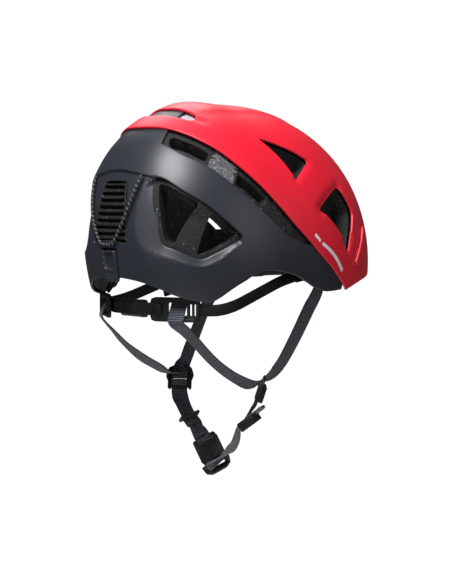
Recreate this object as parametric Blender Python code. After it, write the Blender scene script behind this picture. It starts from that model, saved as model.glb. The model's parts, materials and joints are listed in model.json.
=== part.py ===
"""Climbing helmet built as an assembly of separate named parts.

The shells, the foam and everything that follows the head are laid out on one
base surface, the dome. A place on the dome is an azimuth, counted from the
front (0) over the side (90) to the rear (180), and a polar angle, counted from
the crown (0) down to the rim. Front is -Y, the wearer's left is +X, up is +Z,
and the origin is the dome's centre inside the head cavity. Metres throughout.
"""
import math

import bpy
import numpy as np
from mathutils import Matrix, Vector
from mathutils.geometry import delaunay_2d_cdt

MM = 0.001

# Overall size. The dome is drawn for a 283 x 203 x 171 mm helmet and scaled to these.
HELMET_LENGTH = 283 * MM
HELMET_WIDTH = 203 * MM
HELMET_HEIGHT = 171 * MM
DRAWN_SIZE = (203 * MM, 283 * MM, 171 * MM)

# Dome radius every 20 degrees of polar angle, at the front, the side and the rear.
KNOT_STEP = 20.0
FRONT_RADII = (127, 130, 135.5, 143, 151.5, 160.5, 169.5, 178)
SIDE_RADII = (127, 121, 114, 106.5, 101, 100, 104, 113)
REAR_RADII = (127, 135, 137.5, 133.5, 127, 124, 127, 134.5)
SQUARENESS = 0.35

# Walls and clearances.
UPPER_WALL = 1.8 * MM
LOWER_WALL = 1.8 * MM
SHELL_GAP = 0.5 * MM
LINER_GAP = 0.6 * MM
FIT_GAP = 0.35 * MM
FOAM_SIDE = 20 * MM
FOAM_FRONT = 34 * MM
FOAM_REAR = 26 * MM
FOAM_CROWN = 24 * MM
RIM_TAPER = 0.45
RIM_TAPER_ANGLE = 16.0
PUCK_DEPTH = 8.5 * MM
PUCK_GAP = 0.9 * MM
PUCK_ANGLE = 19.0
PAD_THICKNESS = 5 * MM

# Mesh fineness, in degrees on the dome.
SHELL_STEP = 4.6
FOAM_STEP = 6.0
RING_POINTS = 28
EDGE_STEP = 4.0

# Webbing and harness hardware.
WEBBING_WIDTH = 15 * MM
WEBBING_THICKNESS = 1.2 * MM
WEBBING_STEP = 6 * MM
ROLL_SPAN = 0.01 * MM
SLOT_PLAY = 1.2 * MM
CORD_RADIUS = 1.25 * MM
DIVIDER_SIZE = 28.5 * MM
DIVIDER_WALL = 2.2 * MM
CAM_WALL = 2.0 * MM
HOUSING_LENGTH = 46 * MM
HOUSING_HEIGHT = 21 * MM
HOUSING_WALL = 2.4 * MM
BAND_HEIGHT = 11 * MM
BAND_WALL = 1.4 * MM
ARM_HEIGHT = 10 * MM
BUCKLE_WIDTH = 23 * MM
BUCKLE_DEPTH = 8 * MM
BUCKLE_WALL = 1.5 * MM
SOCKET_LENGTH = 17 * MM
TONGUE_WIDTH = 28 * MM
PRONG_LENGTH = 14 * MM
PRONG_WIDTH = 4.2 * MM

RIGHT = -1
LEFT = 1

# Outlines on the dome's right half, as (azimuth, polar) in degrees.
UPPER_REAR_EDGE = (
    (180, 39.8), (170, 39.7), (160, 39.8), (151, 40.8), (139.5, 43.1), (128.5, 46.5),
    (118, 51.9), (107, 59.2), (96, 68.9), (84, 80.0), (70.5, 91.6), (57.5, 101), (47.3, 108.4),
)
BRIM_EDGE = ((47.3, 108.4), (38.6, 104.3), (28, 101.3), (14, 99.5), (0, 99))
CHANNEL_EDGE = (
    (159.3, 46.8), (147, 50.5), (136.5, 53.2), (124.5, 58.6), (115, 64.8), (104.5, 72.5),
    (91, 82.8), (79.5, 87.6),
)
TUCKED_EDGE = ((79.5, 87.6), (70, 89.6), (58, 97.5), (49.5, 103.8))
LOWER_RIM = (
    (180, 101.5), (168.8, 101.9), (155.8, 105.2), (147, 109), (140, 111.2), (133.4, 112.5),
    (127.4, 110.6), (117, 104.9), (110, 101.3), (104.8, 100.3), (92, 101.5), (82.8, 103.8),
    (71.6, 108.5), (62.6, 110.4), (55.9, 109.9), (49.0, 108.6),
)
TONGUE_AZIMUTH = 159.3
TONGUE_POLAR = 20.0
TOP_SLOT = ((180, 25.6), (160, 25.8), (146, 28.6), (147.5, 33.3), (160, 32.6), (180, 32.2))
CROWN_VENT = ((97.5, 33.8), (62.7, 49.0), (80.0, 56.8))
TEMPLE_VENT = ((47.9, 63.6), (41.8, 75.8), (45.9, 84.0), (48.9, 92.6), (67.9, 71.6))
SIDE_VENT = (
    (157.5, 61.6), (144.2, 66.1), (131.8, 72.1), (123.8, 78.1), (118.0, 83.8), (122.1, 86.9),
    (130.2, 91.2), (137.5, 93.4), (147.8, 89.4), (153.3, 86.3), (155.7, 73.8),
)
RIBBED_VENT = ((172.3, 63.3), (169.3, 78.3), (168.6, 88.0))
CHANNEL_WINDOW = ((156.6, 43.0), (133.5, 47.8), (135.2, 52.0), (155.0, 47.6))
CHANNEL_RECESS = ((118.5, 55.0), (103.0, 65.5), (105.5, 69.5), (120.5, 59.5))
HOOK_HALF_ANGLE = 5.2
HOOK_TOP = 89.6


# ---------------------------------------------------------------- scene helpers

def clear_scene():
    """Remove every object that the file opened with."""
    for item in list(bpy.data.objects):
        bpy.data.objects.remove(item, do_unlink=True)


def make_material(name, colour, roughness, metallic=0.0):
    """Return a Principled material with the given finish."""
    material = bpy.data.materials.new(name)
    material.use_nodes = True
    shader = material.node_tree.nodes["Principled BSDF"]
    shader.inputs["Base Color"].default_value = (*colour, 1.0)
    shader.inputs["Roughness"].default_value = roughness
    shader.inputs["Metallic"].default_value = metallic
    material.diffuse_color = (*colour, 1.0)
    return material


FINISHES = {
    "red_shell": ((0.72, 0.02, 0.035), 0.4),
    "grey_shell": ((0.03, 0.036, 0.045), 0.45),
    "foam": ((0.012, 0.012, 0.014), 0.85),
    "crown_foam": ((0.45, 0.45, 0.48), 0.85),
    "webbing": ((0.05, 0.055, 0.068), 0.9),
    "black_plastic": ((0.008, 0.008, 0.01), 0.35),
    "padding": ((0.02, 0.02, 0.024), 0.95),
    "elastic": ((0.02, 0.02, 0.024), 0.8),
}


def add_mesh(name, points, faces, finish):
    """Make a named mesh object with its own material."""
    mesh = bpy.data.meshes.new(name)
    mesh.from_pydata([tuple(p) for p in points], [], [tuple(int(i) for i in f) for f in faces])
    mesh.validate()
    item = bpy.data.objects.new(name, mesh)
    bpy.context.scene.collection.objects.link(item)
    item.data.materials.append(make_material(name + "_finish", *FINISHES[finish]))
    return item


def set_origin(item, point):
    """Put an object's origin on a point without moving its mesh in the world."""
    item.data.transform(Matrix.Translation(-Vector(point)))
    item.location = point


# ---------------------------------------------------------------- the dome

def scale():
    """Return the scale of the drawn dome along X, Y and Z."""
    wanted = (HELMET_WIDTH, HELMET_LENGTH, HELMET_HEIGHT)
    return np.array([want / drawn for want, drawn in zip(wanted, DRAWN_SIZE)])


def profile(radii, polar):
    """Return a profile's radius in metres at polar angles in degrees."""
    knots = np.array([radii[1], *radii, 2 * radii[-1] - radii[-2]], dtype=float)
    place = np.clip(np.asarray(polar) / KNOT_STEP, 0, len(radii) - 1.0001)
    index = np.floor(place).astype(int)
    t = place - index
    a, b, c, d = (knots[index + k] for k in range(4))
    cubic = 2 * b + (c - a) * t + (2 * a - 5 * b + 4 * c - d) * t**2
    return 0.5 * (cubic + (3 * b - a - 3 * c + d) * t**3) * MM


def dome_surface(u, v):
    """Return dome points for disc coordinates: polar angle times the azimuth's direction."""
    v = np.where(np.hypot(u, v) < 1e-6, -1e-6, v)
    polar = np.hypot(u, v)
    side = u / polar
    ahead = -v / polar
    reach = np.where(ahead > 0, profile(FRONT_RADII, polar), profile(REAR_RADII, polar))
    power = 2 + SQUARENESS * np.sin(np.radians(polar)) ** 2
    across = np.abs(side) / profile(SIDE_RADII, polar)
    along = np.abs(ahead) / reach
    radius = (across**power + along**power) ** (-1 / power)
    sine = np.sin(np.radians(polar))
    cosine = np.cos(np.radians(polar))
    points = np.stack([radius * sine * side, -radius * sine * ahead, radius * cosine], axis=-1)
    return points * scale()


def dome_normal(u, v):
    """Return the dome's outward unit normals."""
    h = 0.4
    du = dome_surface(u + h, v) - dome_surface(u - h, v)
    dv = dome_surface(u, v + h) - dome_surface(u, v - h)
    normal = np.cross(du, dv)
    return normal / np.linalg.norm(normal, axis=-1, keepdims=True)


def lift(places, offset):
    """Return points at an offset outside the dome for an array of disc places."""
    places = np.asarray(places, dtype=float)
    u, v = places[:, 0], places[:, 1]
    return dome_surface(u, v) + dome_normal(u, v) * np.reshape(offset, (-1, 1))


def disc(azimuth, polar, side=RIGHT):
    """Return the disc place of an azimuth and polar angle."""
    a = math.radians(azimuth)
    return (side * polar * math.sin(a), -polar * math.cos(a))


def on_dome(azimuth, polar, offset, side=RIGHT):
    """Return one point at an offset outside the dome."""
    return Vector(lift([disc(azimuth, polar, side)], [offset])[0])


def world(x, y, z):
    """Return a drawn point, in millimetres, at the helmet's size."""
    return Vector(np.array([x, y, z]) * MM * scale())


# ---------------------------------------------------------------- outlines

def catmull_rom(points, step, closed=False):
    """Return points about a step apart along a smooth curve through the given ones."""
    points = np.asarray(points, dtype=float)
    count = len(points)
    spans = count if closed else count - 1
    result = []
    for i in range(spans):
        if closed:
            a, b, c, d = (points[(i + k - 1) % count] for k in range(4))
        else:
            b, c = points[i], points[i + 1]
            a = points[i - 1] if i else 2 * b - c
            d = points[i + 2] if i + 2 < count else 2 * c - b
        pieces = max(1, round(float(np.linalg.norm(c - b)) / step))
        for t in np.arange(pieces) / pieces:
            cubic = 2 * b + (c - a) * t + (2 * a - 5 * b + 4 * c - d) * t**2
            result.append(0.5 * (cubic + (3 * b - a - 3 * c + d) * t**3))
    if not closed:
        result.append(points[-1])
    return np.array(result)


def rounded_polygon(corners, radius, arc_points=3):
    """Return a closed outline with each corner replaced by a short curve."""
    corners = np.asarray(corners, dtype=float)
    count = len(corners)
    result = []
    for i in range(count):
        before, here, after = corners[i - 1], corners[i], corners[(i + 1) % count]
        cut_in = min(radius, 0.45 * np.linalg.norm(before - here))
        cut_out = min(radius, 0.45 * np.linalg.norm(after - here))
        start = here + (before - here) / np.linalg.norm(before - here) * cut_in
        end = here + (after - here) / np.linalg.norm(after - here) * cut_out
        for t in np.linspace(0, 1, arc_points):
            result.append((1 - t) ** 2 * start + 2 * t * (1 - t) * here + t**2 * end)
    return np.array(result)


def split_long(outline, step):
    """Return a closed outline whose edges are at most a step long."""
    result = []
    for i, here in enumerate(outline):
        after = outline[(i + 1) % len(outline)]
        pieces = max(1, math.ceil(float(np.linalg.norm(after - here)) / step))
        result.extend(here + (after - here) * k / pieces for k in range(pieces))
    return np.array(result)


def discs(points, side=RIGHT):
    """Return the disc places of a list of azimuths and polar angles."""
    return np.array([disc(azimuth, polar, side) for azimuth, polar in points])


def both_sides(half):
    """Close a right-half path that starts and ends on the middle plane."""
    mirrored = half[::-1][1:-1] * (-1, 1)
    return np.vstack([half, mirrored])


def pair(outline):
    """Return a right-side hole outline and its mirror image."""
    return [outline, outline[::-1] * (-1, 1)]


def inside(places, outline):
    """Return whether each place is inside a closed outline."""
    x, y = places[:, 0], places[:, 1]
    result = np.zeros(len(places), dtype=bool)
    for i, (x2, y2) in enumerate(outline):
        x1, y1 = outline[i - 1]
        crosses = (y1 > y) != (y2 > y)
        rise = np.where(y2 == y1, 1e-12, y2 - y1)
        result ^= crosses & (x < (x2 - x1) * (y - y1) / rise + x1)
    return result


def clearance(places, outline):
    """Return each place's distance to the nearest edge of a closed outline."""
    best = np.full(len(places), 1e9)
    for i, end in enumerate(outline):
        start = outline[i - 1]
        edge = end - start
        t = np.clip((places - start) @ edge / max(float(edge @ edge), 1e-12), 0, 1)
        best = np.minimum(best, np.linalg.norm(places - start - t[:, None] * edge, axis=1))
    return best


def triangulate(outline, holes, inner_places):
    """Return places and triangles that fill an outline around its holes."""
    loops = [outline, *holes]
    keep = inside(inner_places, outline)
    for hole in holes:
        keep &= ~inside(inner_places, hole)
    inner_places = inner_places[keep]
    places = np.vstack([*loops, inner_places])
    edges = []
    start = 0
    for loop in loops:
        edges += [(start + i, start + (i + 1) % len(loop)) for i in range(len(loop))]
        start += len(loop)
    solved = delaunay_2d_cdt([Vector(p) for p in places], edges, [], 0, 1e-6)
    points = np.array([tuple(p) for p in solved[0]])
    triangles = np.array([list(face) for face in solved[2]])
    middles = points[triangles].mean(axis=1)
    wanted = inside(middles, outline)
    for hole in holes:
        wanted &= ~inside(middles, hole)
    return points, triangles[wanted]


def thicken(bottom, top, triangles):
    """Join two layers of the same triangles into one closed solid."""
    count = len(bottom)
    directed = set()
    for a, b, c in triangles:
        directed.update([(a, b), (b, c), (c, a)])
    rim = [(a, b) for a, b in directed if (b, a) not in directed]
    faces = [tuple(face) for face in triangles + count]
    faces += [tuple(face[::-1]) for face in triangles]
    faces += [(a, b, b + count, a + count) for a, b in rim]
    points = np.vstack([bottom, top])
    used = sorted({i for face in faces for i in face})
    renumber = {old: new for new, old in enumerate(used)}
    return points[used], [tuple(renumber[i] for i in face) for face in faces]


# ---------------------------------------------------------------- solid builders

def ring_places(step):
    """Return places spread evenly over the dome, ring by ring."""
    places = [(0.0, 0.0)]
    for ring in range(1, int(125 / step)):
        polar = ring * step
        count = max(6, round(360 * math.sin(math.radians(polar)) / step))
        for k in range(count):
            turn = 2 * math.pi * (k + 0.5 * (ring % 2)) / count
            places.append((polar * math.sin(turn), polar * math.cos(turn)))
    return np.array(places)


def curved_solid(name, outline, holes, outer, inner, step, finish, rings=()):
    """Make a solid between two offsets of the dome.

    outer and inner are offsets in metres, or functions that return them for
    arrays of disc places. rings are extra polar angles with a ring of points.
    """
    outline = split_long(outline, EDGE_STEP)
    holes = [split_long(hole, EDGE_STEP) for hole in holes]
    places = ring_places(step)
    for polar in rings:
        places = places[np.abs(np.hypot(places[:, 0], places[:, 1]) - polar) > 0.5 * step]
    room = clearance(places, outline)
    for hole in holes:
        room = np.minimum(room, clearance(places, hole))
    places = places[room > 0.5 * step]
    for polar in rings:
        turns = np.arange(RING_POINTS) * 360 / RING_POINTS
        places = np.vstack([places, [disc(turn, polar) for turn in turns]])
    points, triangles = triangulate(outline, holes, places)
    layers = []
    for offset in (inner, outer):
        amount = offset(points) if callable(offset) else np.full(len(points), offset)
        layers.append(lift(points, amount))
    return add_mesh(name, *thicken(layers[0], layers[1], triangles), finish)


def plate(name, outline, holes, wall, frame, finish, base=0.0):
    """Make a flat plate in the XY plane of a frame, from base to base plus wall along its Z."""
    points, triangles = triangulate(np.asarray(outline), [np.asarray(h) for h in holes],
                                    np.empty((0, 2)))
    flat = np.column_stack([points, np.full(len(points), base)])
    raised = flat + (0, 0, wall)
    solid_points, faces = thicken(flat, raised, triangles)
    placed = [frame @ Vector(p) for p in solid_points]
    return add_mesh(name, placed, faces, finish)


def make_frame(origin, x_axis, z_axis):
    """Return a matrix with a given origin, X axis and, nearly, Z axis."""
    x = Vector(x_axis).normalized()
    z = Vector(z_axis)
    z = (z - x * z.dot(x)).normalized()
    y = z.cross(x)
    frame = Matrix((x, y, z)).transposed().to_4x4()
    frame.translation = origin
    return frame


def rectangle(width, height, radius, centre=(0.0, 0.0), arc_points=3):
    """Return a rounded rectangle's outline."""
    x, y = width / 2, height / 2
    corners = np.array([(-x, -y), (x, -y), (x, y), (-x, y)]) + centre
    return rounded_polygon(corners, radius, arc_points)


def roll_towards(stations, index, side):
    """Return a station's roll in degrees, worked out where it gives its width's direction."""
    roll = stations[index][1]
    if not isinstance(roll, Vector):
        return roll
    points = [Vector(point) for point, _ in stations]
    tangent = (points[min(index + 1, len(points) - 1)] - points[max(index - 1, 0)]).normalized()
    outward = Vector((side, 0, 0))
    outward = (outward - tangent * outward.dot(tangent)).normalized()
    angle = math.degrees(math.atan2(roll.dot(outward), roll.dot(tangent.cross(outward))))
    return (angle + 90) % 180 - 90


def ribbon(name, stations, width, thickness, side, finish, step=WEBBING_STEP):
    """Make a flat strap through stations of a point and a roll about the strap.

    A roll of 0 turns the strap's flat side out to the given side of the head. A
    vector in place of a roll is the direction of the strap's width.
    """
    rolled = [roll_towards(stations, i, side) for i in range(len(stations))]
    table = np.array([[*station[0], math.radians(roll) * ROLL_SPAN]
                      for station, roll in zip(stations, rolled)])
    path = catmull_rom(table, step)
    centres = path[:, :3]
    rolls = path[:, 3] / ROLL_SPAN
    tangents = np.gradient(centres, axis=0)
    tangents /= np.linalg.norm(tangents, axis=1, keepdims=True)
    outward = np.tile([float(side), 0.0, 0.0], (len(path), 1))
    outward -= tangents * np.sum(outward * tangents, axis=1, keepdims=True)
    outward /= np.linalg.norm(outward, axis=1, keepdims=True)
    across = np.cross(tangents, outward)
    wide = across * np.cos(rolls)[:, None] + outward * np.sin(rolls)[:, None]
    thick = np.cross(tangents, wide)
    return strip(name, centres, wide * width / 2, thick * thickness / 2, finish)


def strip(name, centres, wide, thick, finish):
    """Make a bar with a rectangular section from its centres and half sides."""
    points = []
    for centre, a, b in zip(centres, wide, thick):
        points += [centre - a - b, centre + a - b, centre + a + b, centre - a + b]
    faces = [(3, 2, 1, 0)]
    for i in range(len(centres) - 1):
        low, high = 4 * i, 4 * i + 4
        for k in range(4):
            after = (k + 1) % 4
            faces.append((low + k, low + after, high + after, high + k))
    last = 4 * (len(centres) - 1)
    faces.append((last, last + 1, last + 2, last + 3))
    if np.linalg.det(np.array([wide[0], thick[0], centres[1] - centres[0]])) < 0:
        faces = [face[::-1] for face in faces]
    return add_mesh(name, points, faces, finish)


def upright_band(name, centres, height, wall, finish, step=WEBBING_STEP):
    """Make a band that stands upright along a path."""
    path = catmull_rom([tuple(p) for p in centres], step)
    tangents = np.gradient(path, axis=0)
    tangents /= np.linalg.norm(tangents, axis=1, keepdims=True)
    up = np.array([0.0, 0.0, 1.0]) - tangents * tangents[:, 2:3]
    up /= np.linalg.norm(up, axis=1, keepdims=True)
    outward = np.cross(tangents, up)
    return strip(name, path, up * height / 2, outward * wall / 2, finish)


def cut(item, cutter):
    """Subtract a hidden cutter from an object."""
    modifier = item.modifiers.new("cut_" + cutter.name, "BOOLEAN")
    modifier.operation = "DIFFERENCE"
    modifier.object = cutter
    cutter.display_type = "WIRE"
    cutter.hide_render = True


# ---------------------------------------------------------------- shells and foam

def rim_polar(azimuths):
    """Return the polar angle of the lower rim at azimuths from the front."""
    rim = [*BRIM_EDGE[::-1][:-1], *LOWER_RIM[::-1]]
    angles, polars = zip(*rim)
    return np.interp(azimuths, angles, polars)


def foam_depth(places):
    """Return the foam's thickness at disc places, thinner towards the rim."""
    polar = np.maximum(np.hypot(places[:, 0], places[:, 1]), 1e-9)
    ahead = -places[:, 1] / polar
    ends = np.where(ahead > 0, FOAM_FRONT - FOAM_SIDE, FOAM_REAR - FOAM_SIDE)
    around = FOAM_SIDE + ends * ahead**2
    depth = FOAM_CROWN + (around - FOAM_CROWN) * np.sin(np.radians(polar)) ** 2
    azimuth = np.degrees(np.arccos(np.clip(ahead, -1, 1)))
    near = np.clip((polar - rim_polar(azimuth) + RIM_TAPER_ANGLE) / RIM_TAPER_ANGLE, 0, 1)
    return depth * (1 - RIM_TAPER * near**2 * (3 - 2 * near))


def lower_outer():
    """Return the lower shell's outer offset, tucked under the upper shell."""
    return -(UPPER_WALL + SHELL_GAP)


def foam_outer():
    """Return the foam's outer offset, just inside the lower shell."""
    return lower_outer() - LOWER_WALL - LINER_GAP


def foam_inner(places):
    """Return the foam's inner offset at disc places."""
    return foam_outer() - foam_depth(places)


def upper_shell():
    """The red cap, from the brim over the crown to its edge at the rear."""
    rear = catmull_rom(discs(UPPER_REAR_EDGE), EDGE_STEP)
    brim = catmull_rom(discs(BRIM_EDGE), EDGE_STEP)
    outline = both_sides(np.vstack([rear[:-1], brim]))
    slot = both_sides(discs(TOP_SLOT))
    holes = [slot, *pair(rounded_polygon(discs(CROWN_VENT), 3.0)),
             *pair(rounded_polygon(discs(TEMPLE_VENT), 3.0))]
    curved_solid("upper_shell", outline, holes, 0.0, -UPPER_WALL, SHELL_STEP, "red_shell")


def lower_shell():
    """The grey shell round the sides and rear, with a tongue under the upper shell."""
    rim = catmull_rom(discs(LOWER_RIM), EDGE_STEP)
    notch = discs([(180, HOOK_TOP), (180 - HOOK_HALF_ANGLE, HOOK_TOP),
                   (180 - HOOK_HALF_ANGLE, 101.5)])
    rim = rim[rim[:, 0] < notch[2][0] - 0.5]
    tucked = catmull_rom(discs(TUCKED_EDGE), EDGE_STEP)[::-1]
    channel = catmull_rom(discs(CHANNEL_EDGE), EDGE_STEP)[::-1]
    tongue = discs([(TONGUE_AZIMUTH, TONGUE_POLAR), (170, TONGUE_POLAR), (180, TONGUE_POLAR)])
    outline = both_sides(np.vstack([notch, rim, tucked, channel[1:], tongue]))
    side_vent = catmull_rom(discs(SIDE_VENT), 3.0, closed=True)
    ribbed = discs(RIBBED_VENT)
    ribbed = rounded_polygon(np.vstack([ribbed, ribbed[::-1] * (-1, 1)]), 2.0)
    outer = lower_outer()
    curved_solid("lower_shell", outline, [ribbed, *pair(side_vent)], outer, outer - LOWER_WALL,
                 SHELL_STEP, "grey_shell")


def foam_vents():
    """Return the foam's holes: side, temple and crown vents and the channel windows."""
    front_vent = [(133.2, 73.6), (124.6, 79.3), (121.3, 83.0), (128.0, 88.6), (138.0, 91.0)]
    rear_vent = [(154.5, 65.6), (141.0, 70.6), (146.0, 87.2), (151.7, 84.3), (153.6, 74.0)]
    shapes = [rounded_polygon(discs(front_vent), 3.0), rounded_polygon(discs(rear_vent), 3.0),
              rounded_polygon(discs(CROWN_VENT), 3.0), rounded_polygon(discs(TEMPLE_VENT), 3.0),
              rounded_polygon(discs(CHANNEL_WINDOW), 1.5),
              rounded_polygon(discs(CHANNEL_RECESS), 1.5)]
    return [hole for shape in shapes for hole in pair(shape)]


def foam_liner():
    """The energy-absorbing liner with a seat for the crown puck."""
    rim = [(azimuth, polar - 1.2) for azimuth, polar in LOWER_RIM]
    brim = [(azimuth, polar - 1.2) for azimuth, polar in BRIM_EDGE[1:]]
    half = catmull_rom(discs([*rim, *brim]), EDGE_STEP)
    seat_ring = PUCK_ANGLE + 0.7

    def outer(places):
        polar = np.hypot(places[:, 0], places[:, 1])
        return np.where(polar < seat_ring + 0.1, foam_outer() - PUCK_DEPTH - PUCK_GAP, foam_outer())

    curved_solid("foam_liner", both_sides(half), foam_vents(), outer, foam_inner, FOAM_STEP,
                 "foam", rings=(seat_ring, seat_ring + 1.0))


def crown_puck():
    """The denser foam disc between the shells and the liner at the crown."""
    circle = discs([(turn, PUCK_ANGLE) for turn in range(0, 360, 15)])
    outer = foam_outer()
    curved_solid("crown_puck", circle[::-1], [], outer, outer - PUCK_DEPTH, FOAM_STEP,
                 "crown_foam")


# ---------------------------------------------------------------- lamp retention

def lamp_clip(side, prefix):
    """The sprung headlamp clip over the temple vent's front edge."""
    corners = [(33.8, 82.5), (35.4, 82.3), (38.6, 87.5), (44.4, 96.6), (42.4, 97.6), (36.0, 90.5)]
    outline = rounded_polygon(discs(corners, side), 1.2)
    if side == LEFT:
        outline = outline[::-1]
    clip = curved_solid(prefix + "_lamp_clip", outline, [], FIT_GAP + 1.8 * MM, FIT_GAP,
                        SHELL_STEP, "red_shell")
    set_origin(clip, on_dome(43.4, 97.1, 1.2 * MM, side))


def rear_hook():
    """The pull tab in the lower shell's rear notch, which holds a headlamp's band."""
    half = discs([(180, HOOK_TOP + 0.7), (180 - HOOK_HALF_ANGLE + 0.5, HOOK_TOP + 0.7),
                  (180 - HOOK_HALF_ANGLE + 0.5, 103.0), (180, 103.2)])
    tab = curved_solid("rear_hook", both_sides(half), [], lower_outer() + 0.4 * MM,
                       lower_outer() - LOWER_WALL, SHELL_STEP, "grey_shell")
    set_origin(tab, on_dome(180, HOOK_TOP, lower_outer()))


def elastic_cord():
    """The doubled elastic from both sides of the ribbed vent down to the hook."""
    height = lower_outer() + CORD_RADIUS + FIT_GAP
    route = [on_dome(163.5, 60.7, height), on_dome(166.0, 68.0, height), on_dome(169.5, 77.0, height),
             on_dome(175.2, 86.4, height), on_dome(180, 87.9, height),
             on_dome(175.2, 86.4, height, LEFT), on_dome(169.5, 77.0, height, LEFT),
             on_dome(166.0, 68.0, height, LEFT), on_dome(163.5, 60.7, height, LEFT)]
    tube("elastic_cord", route, CORD_RADIUS, 3 * MM, "elastic")


def tube(name, route, radius, step, finish, sides=8):
    """Make a round cord along a smooth route."""
    path = catmull_rom([tuple(p) for p in route], step)
    tangents = np.gradient(path, axis=0)
    tangents /= np.linalg.norm(tangents, axis=1, keepdims=True)
    points = []
    for centre, tangent in zip(path, tangents):
        first = np.cross(tangent, (0.0, 1.0, 0.0))
        first /= np.linalg.norm(first)
        second = np.cross(tangent, first)
        for k in range(sides):
            turn = 2 * math.pi * k / sides
            points.append(centre + radius * (first * math.cos(turn) + second * math.sin(turn)))
    faces = [tuple(range(sides))[::-1]]
    for i in range(len(path) - 1):
        low, high = sides * i, sides * (i + 1)
        for k in range(sides):
            after = (k + 1) % sides
            faces.append((low + k, low + after, high + after, high + k))
    last = sides * (len(path) - 1)
    faces.append(tuple(range(last, last + sides)))
    return add_mesh(name, points, faces, finish)


# ---------------------------------------------------------------- headband

HOUSING_PLACE = {RIGHT: (-48, 86, -50.5), LEFT: (48, 86, -51.5)}


def housing_frame(side):
    """Return the frame of an adjuster housing: X towards the front, Y up, Z out."""
    x_axis = (side * 0.88, -0.47, 0.0)
    z_axis = (side * 0.47, 0.88, 0.0)
    frame = make_frame(world(*HOUSING_PLACE[side]), x_axis, z_axis)
    if (frame @ Vector((0, 1, 0)) - frame.translation).z < 0:
        frame = frame @ Matrix.Diagonal((1, -1, 1, 1))
    return frame


def mirrored_plate(name, outline, holes, wall, frame, finish, base=0.0):
    """Make a plate in a frame that may be left-handed, with its faces pointing out."""
    item = plate(name, outline, holes, wall, frame, finish, base)
    if frame.to_3x3().determinant() < 0:
        item.data.flip_normals()
    return item


STRAP_WINDOW = WEBBING_WIDTH + 2 * SLOT_PLAY
STRAP_PLACE = 2.5 * MM
BUTTON_PLACE = -15.5 * MM


def adjuster_housing(side, prefix):
    """The frame that grips the rear band's toothed end and guides the rear strap."""
    frame = housing_frame(side)
    outline = rectangle(HOUSING_LENGTH, HOUSING_HEIGHT, 5 * MM)
    window = rectangle(STRAP_WINDOW, 11 * MM, 1.5 * MM, (STRAP_PLACE, 0.5 * MM))
    button = rectangle(7.5 * MM, 10.5 * MM, 1.2 * MM, (BUTTON_PLACE, 0))
    holes = [window, button]
    for x in (14.6 * MM, 18.6 * MM):
        holes.append(rectangle(2.4 * MM, 10 * MM, 0.8 * MM, (x, 0)))
    mirrored_plate(prefix + "_adjuster_housing", outline, holes, HOUSING_WALL, frame,
                   "black_plastic", 1.2 * MM)


def release_button(side, prefix):
    """The button that lets the toothed band slide through its housing."""
    frame = housing_frame(side)
    outline = rectangle(6.8 * MM, 9.8 * MM, 1.0 * MM, (BUTTON_PLACE, 0))
    button = mirrored_plate(prefix + "_release_button", outline, [], HOUSING_WALL + 0.6 * MM,
                            frame, "black_plastic", 1.8 * MM)
    set_origin(button, frame @ Vector((BUTTON_PLACE, 0, 2.4 * MM)))


def band_point(side, along, back):
    """Return a point on the band's middle line behind a housing."""
    return housing_frame(side) @ Vector((along, 0, back))


def rear_band():
    """The toothed band across the nape, with both ends lying behind the housings."""
    back = -BAND_WALL / 2 - 0.8 * MM
    route = [band_point(RIGHT, -8 * MM, back), band_point(RIGHT, -19 * MM, back),
             world(-14, 99.5, -51), world(14, 99.5, -51),
             band_point(LEFT, -19 * MM, back), band_point(LEFT, -8 * MM, back)]
    upright_band("rear_band", route, BAND_HEIGHT, BAND_WALL, "black_plastic")


def nape_pad():
    """The soft pad inside the rear band's middle."""
    route = [world(-20, 94.2, -51), world(0, 96.0, -51), world(20, 94.2, -51)]
    upright_band("nape_pad", route, BAND_HEIGHT + 7 * MM, 3.4 * MM, "padding")


def side_arm(side, prefix):
    """The flexible arm from a housing forward along the inside of the liner."""
    frame = housing_frame(side)
    start = frame @ Vector((HOUSING_LENGTH / 2 + 1.0 * MM, 0, 1.8 * MM))
    points = [(74.0, 62, -51), (75.0, 44, -48), (73.0, 18, -40), (70.5, -12, -30), (67.5, -36, -25)]
    route = [start, *[world(side * x, y, z) for x, y, z in points]]
    upright_band(prefix + "_side_arm", route, ARM_HEIGHT, BAND_WALL, "black_plastic")


HEADBAND_POINTS = ((-60.0, -42, -24), (-56.0, -61, -22), (-46.5, -84, -20), (-36, -99, -19),
                   (-20, -110.5, -18))


def headband_route():
    """Return the front headband's middle line, from the right temple to the left."""
    half = [world(*p) for p in HEADBAND_POINTS]
    return [*half, world(0, -115, -18), *[Vector((-p.x, p.y, p.z)) for p in half[::-1]]]


def front_headband():
    """The band round the forehead, between the two side arms."""
    upright_band("front_headband", headband_route(), 16 * MM, BAND_WALL, "black_plastic")


def brow_pad():
    """The sweat pad inside the front headband."""
    reach = PAD_THICKNESS / 2 + BAND_WALL / 2 + 3 * FIT_GAP
    route = [p - Vector((p.x, p.y, 0)).normalized() * reach for p in headband_route()[2:-2]]
    upright_band("brow_pad", route, 26 * MM, PAD_THICKNESS, "padding")


def crown_pad():
    """The comfort pad under the crown, a cross of four soft fingers."""
    corners = []
    for quarter in range(4):
        turn = quarter * 90
        for azimuth, polar in ((turn - 9, 30), (turn + 9, 30), (turn + 45, 11)):
            corners.append(disc(azimuth, polar))
    outline = rounded_polygon(corners[::-1], 2.5)

    def outer(places):
        return foam_inner(places) - 0.6 * MM

    def inner(places):
        return outer(places) - PAD_THICKNESS

    curved_solid("crown_pad", outline, [], outer, inner, FOAM_STEP, "padding")


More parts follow.
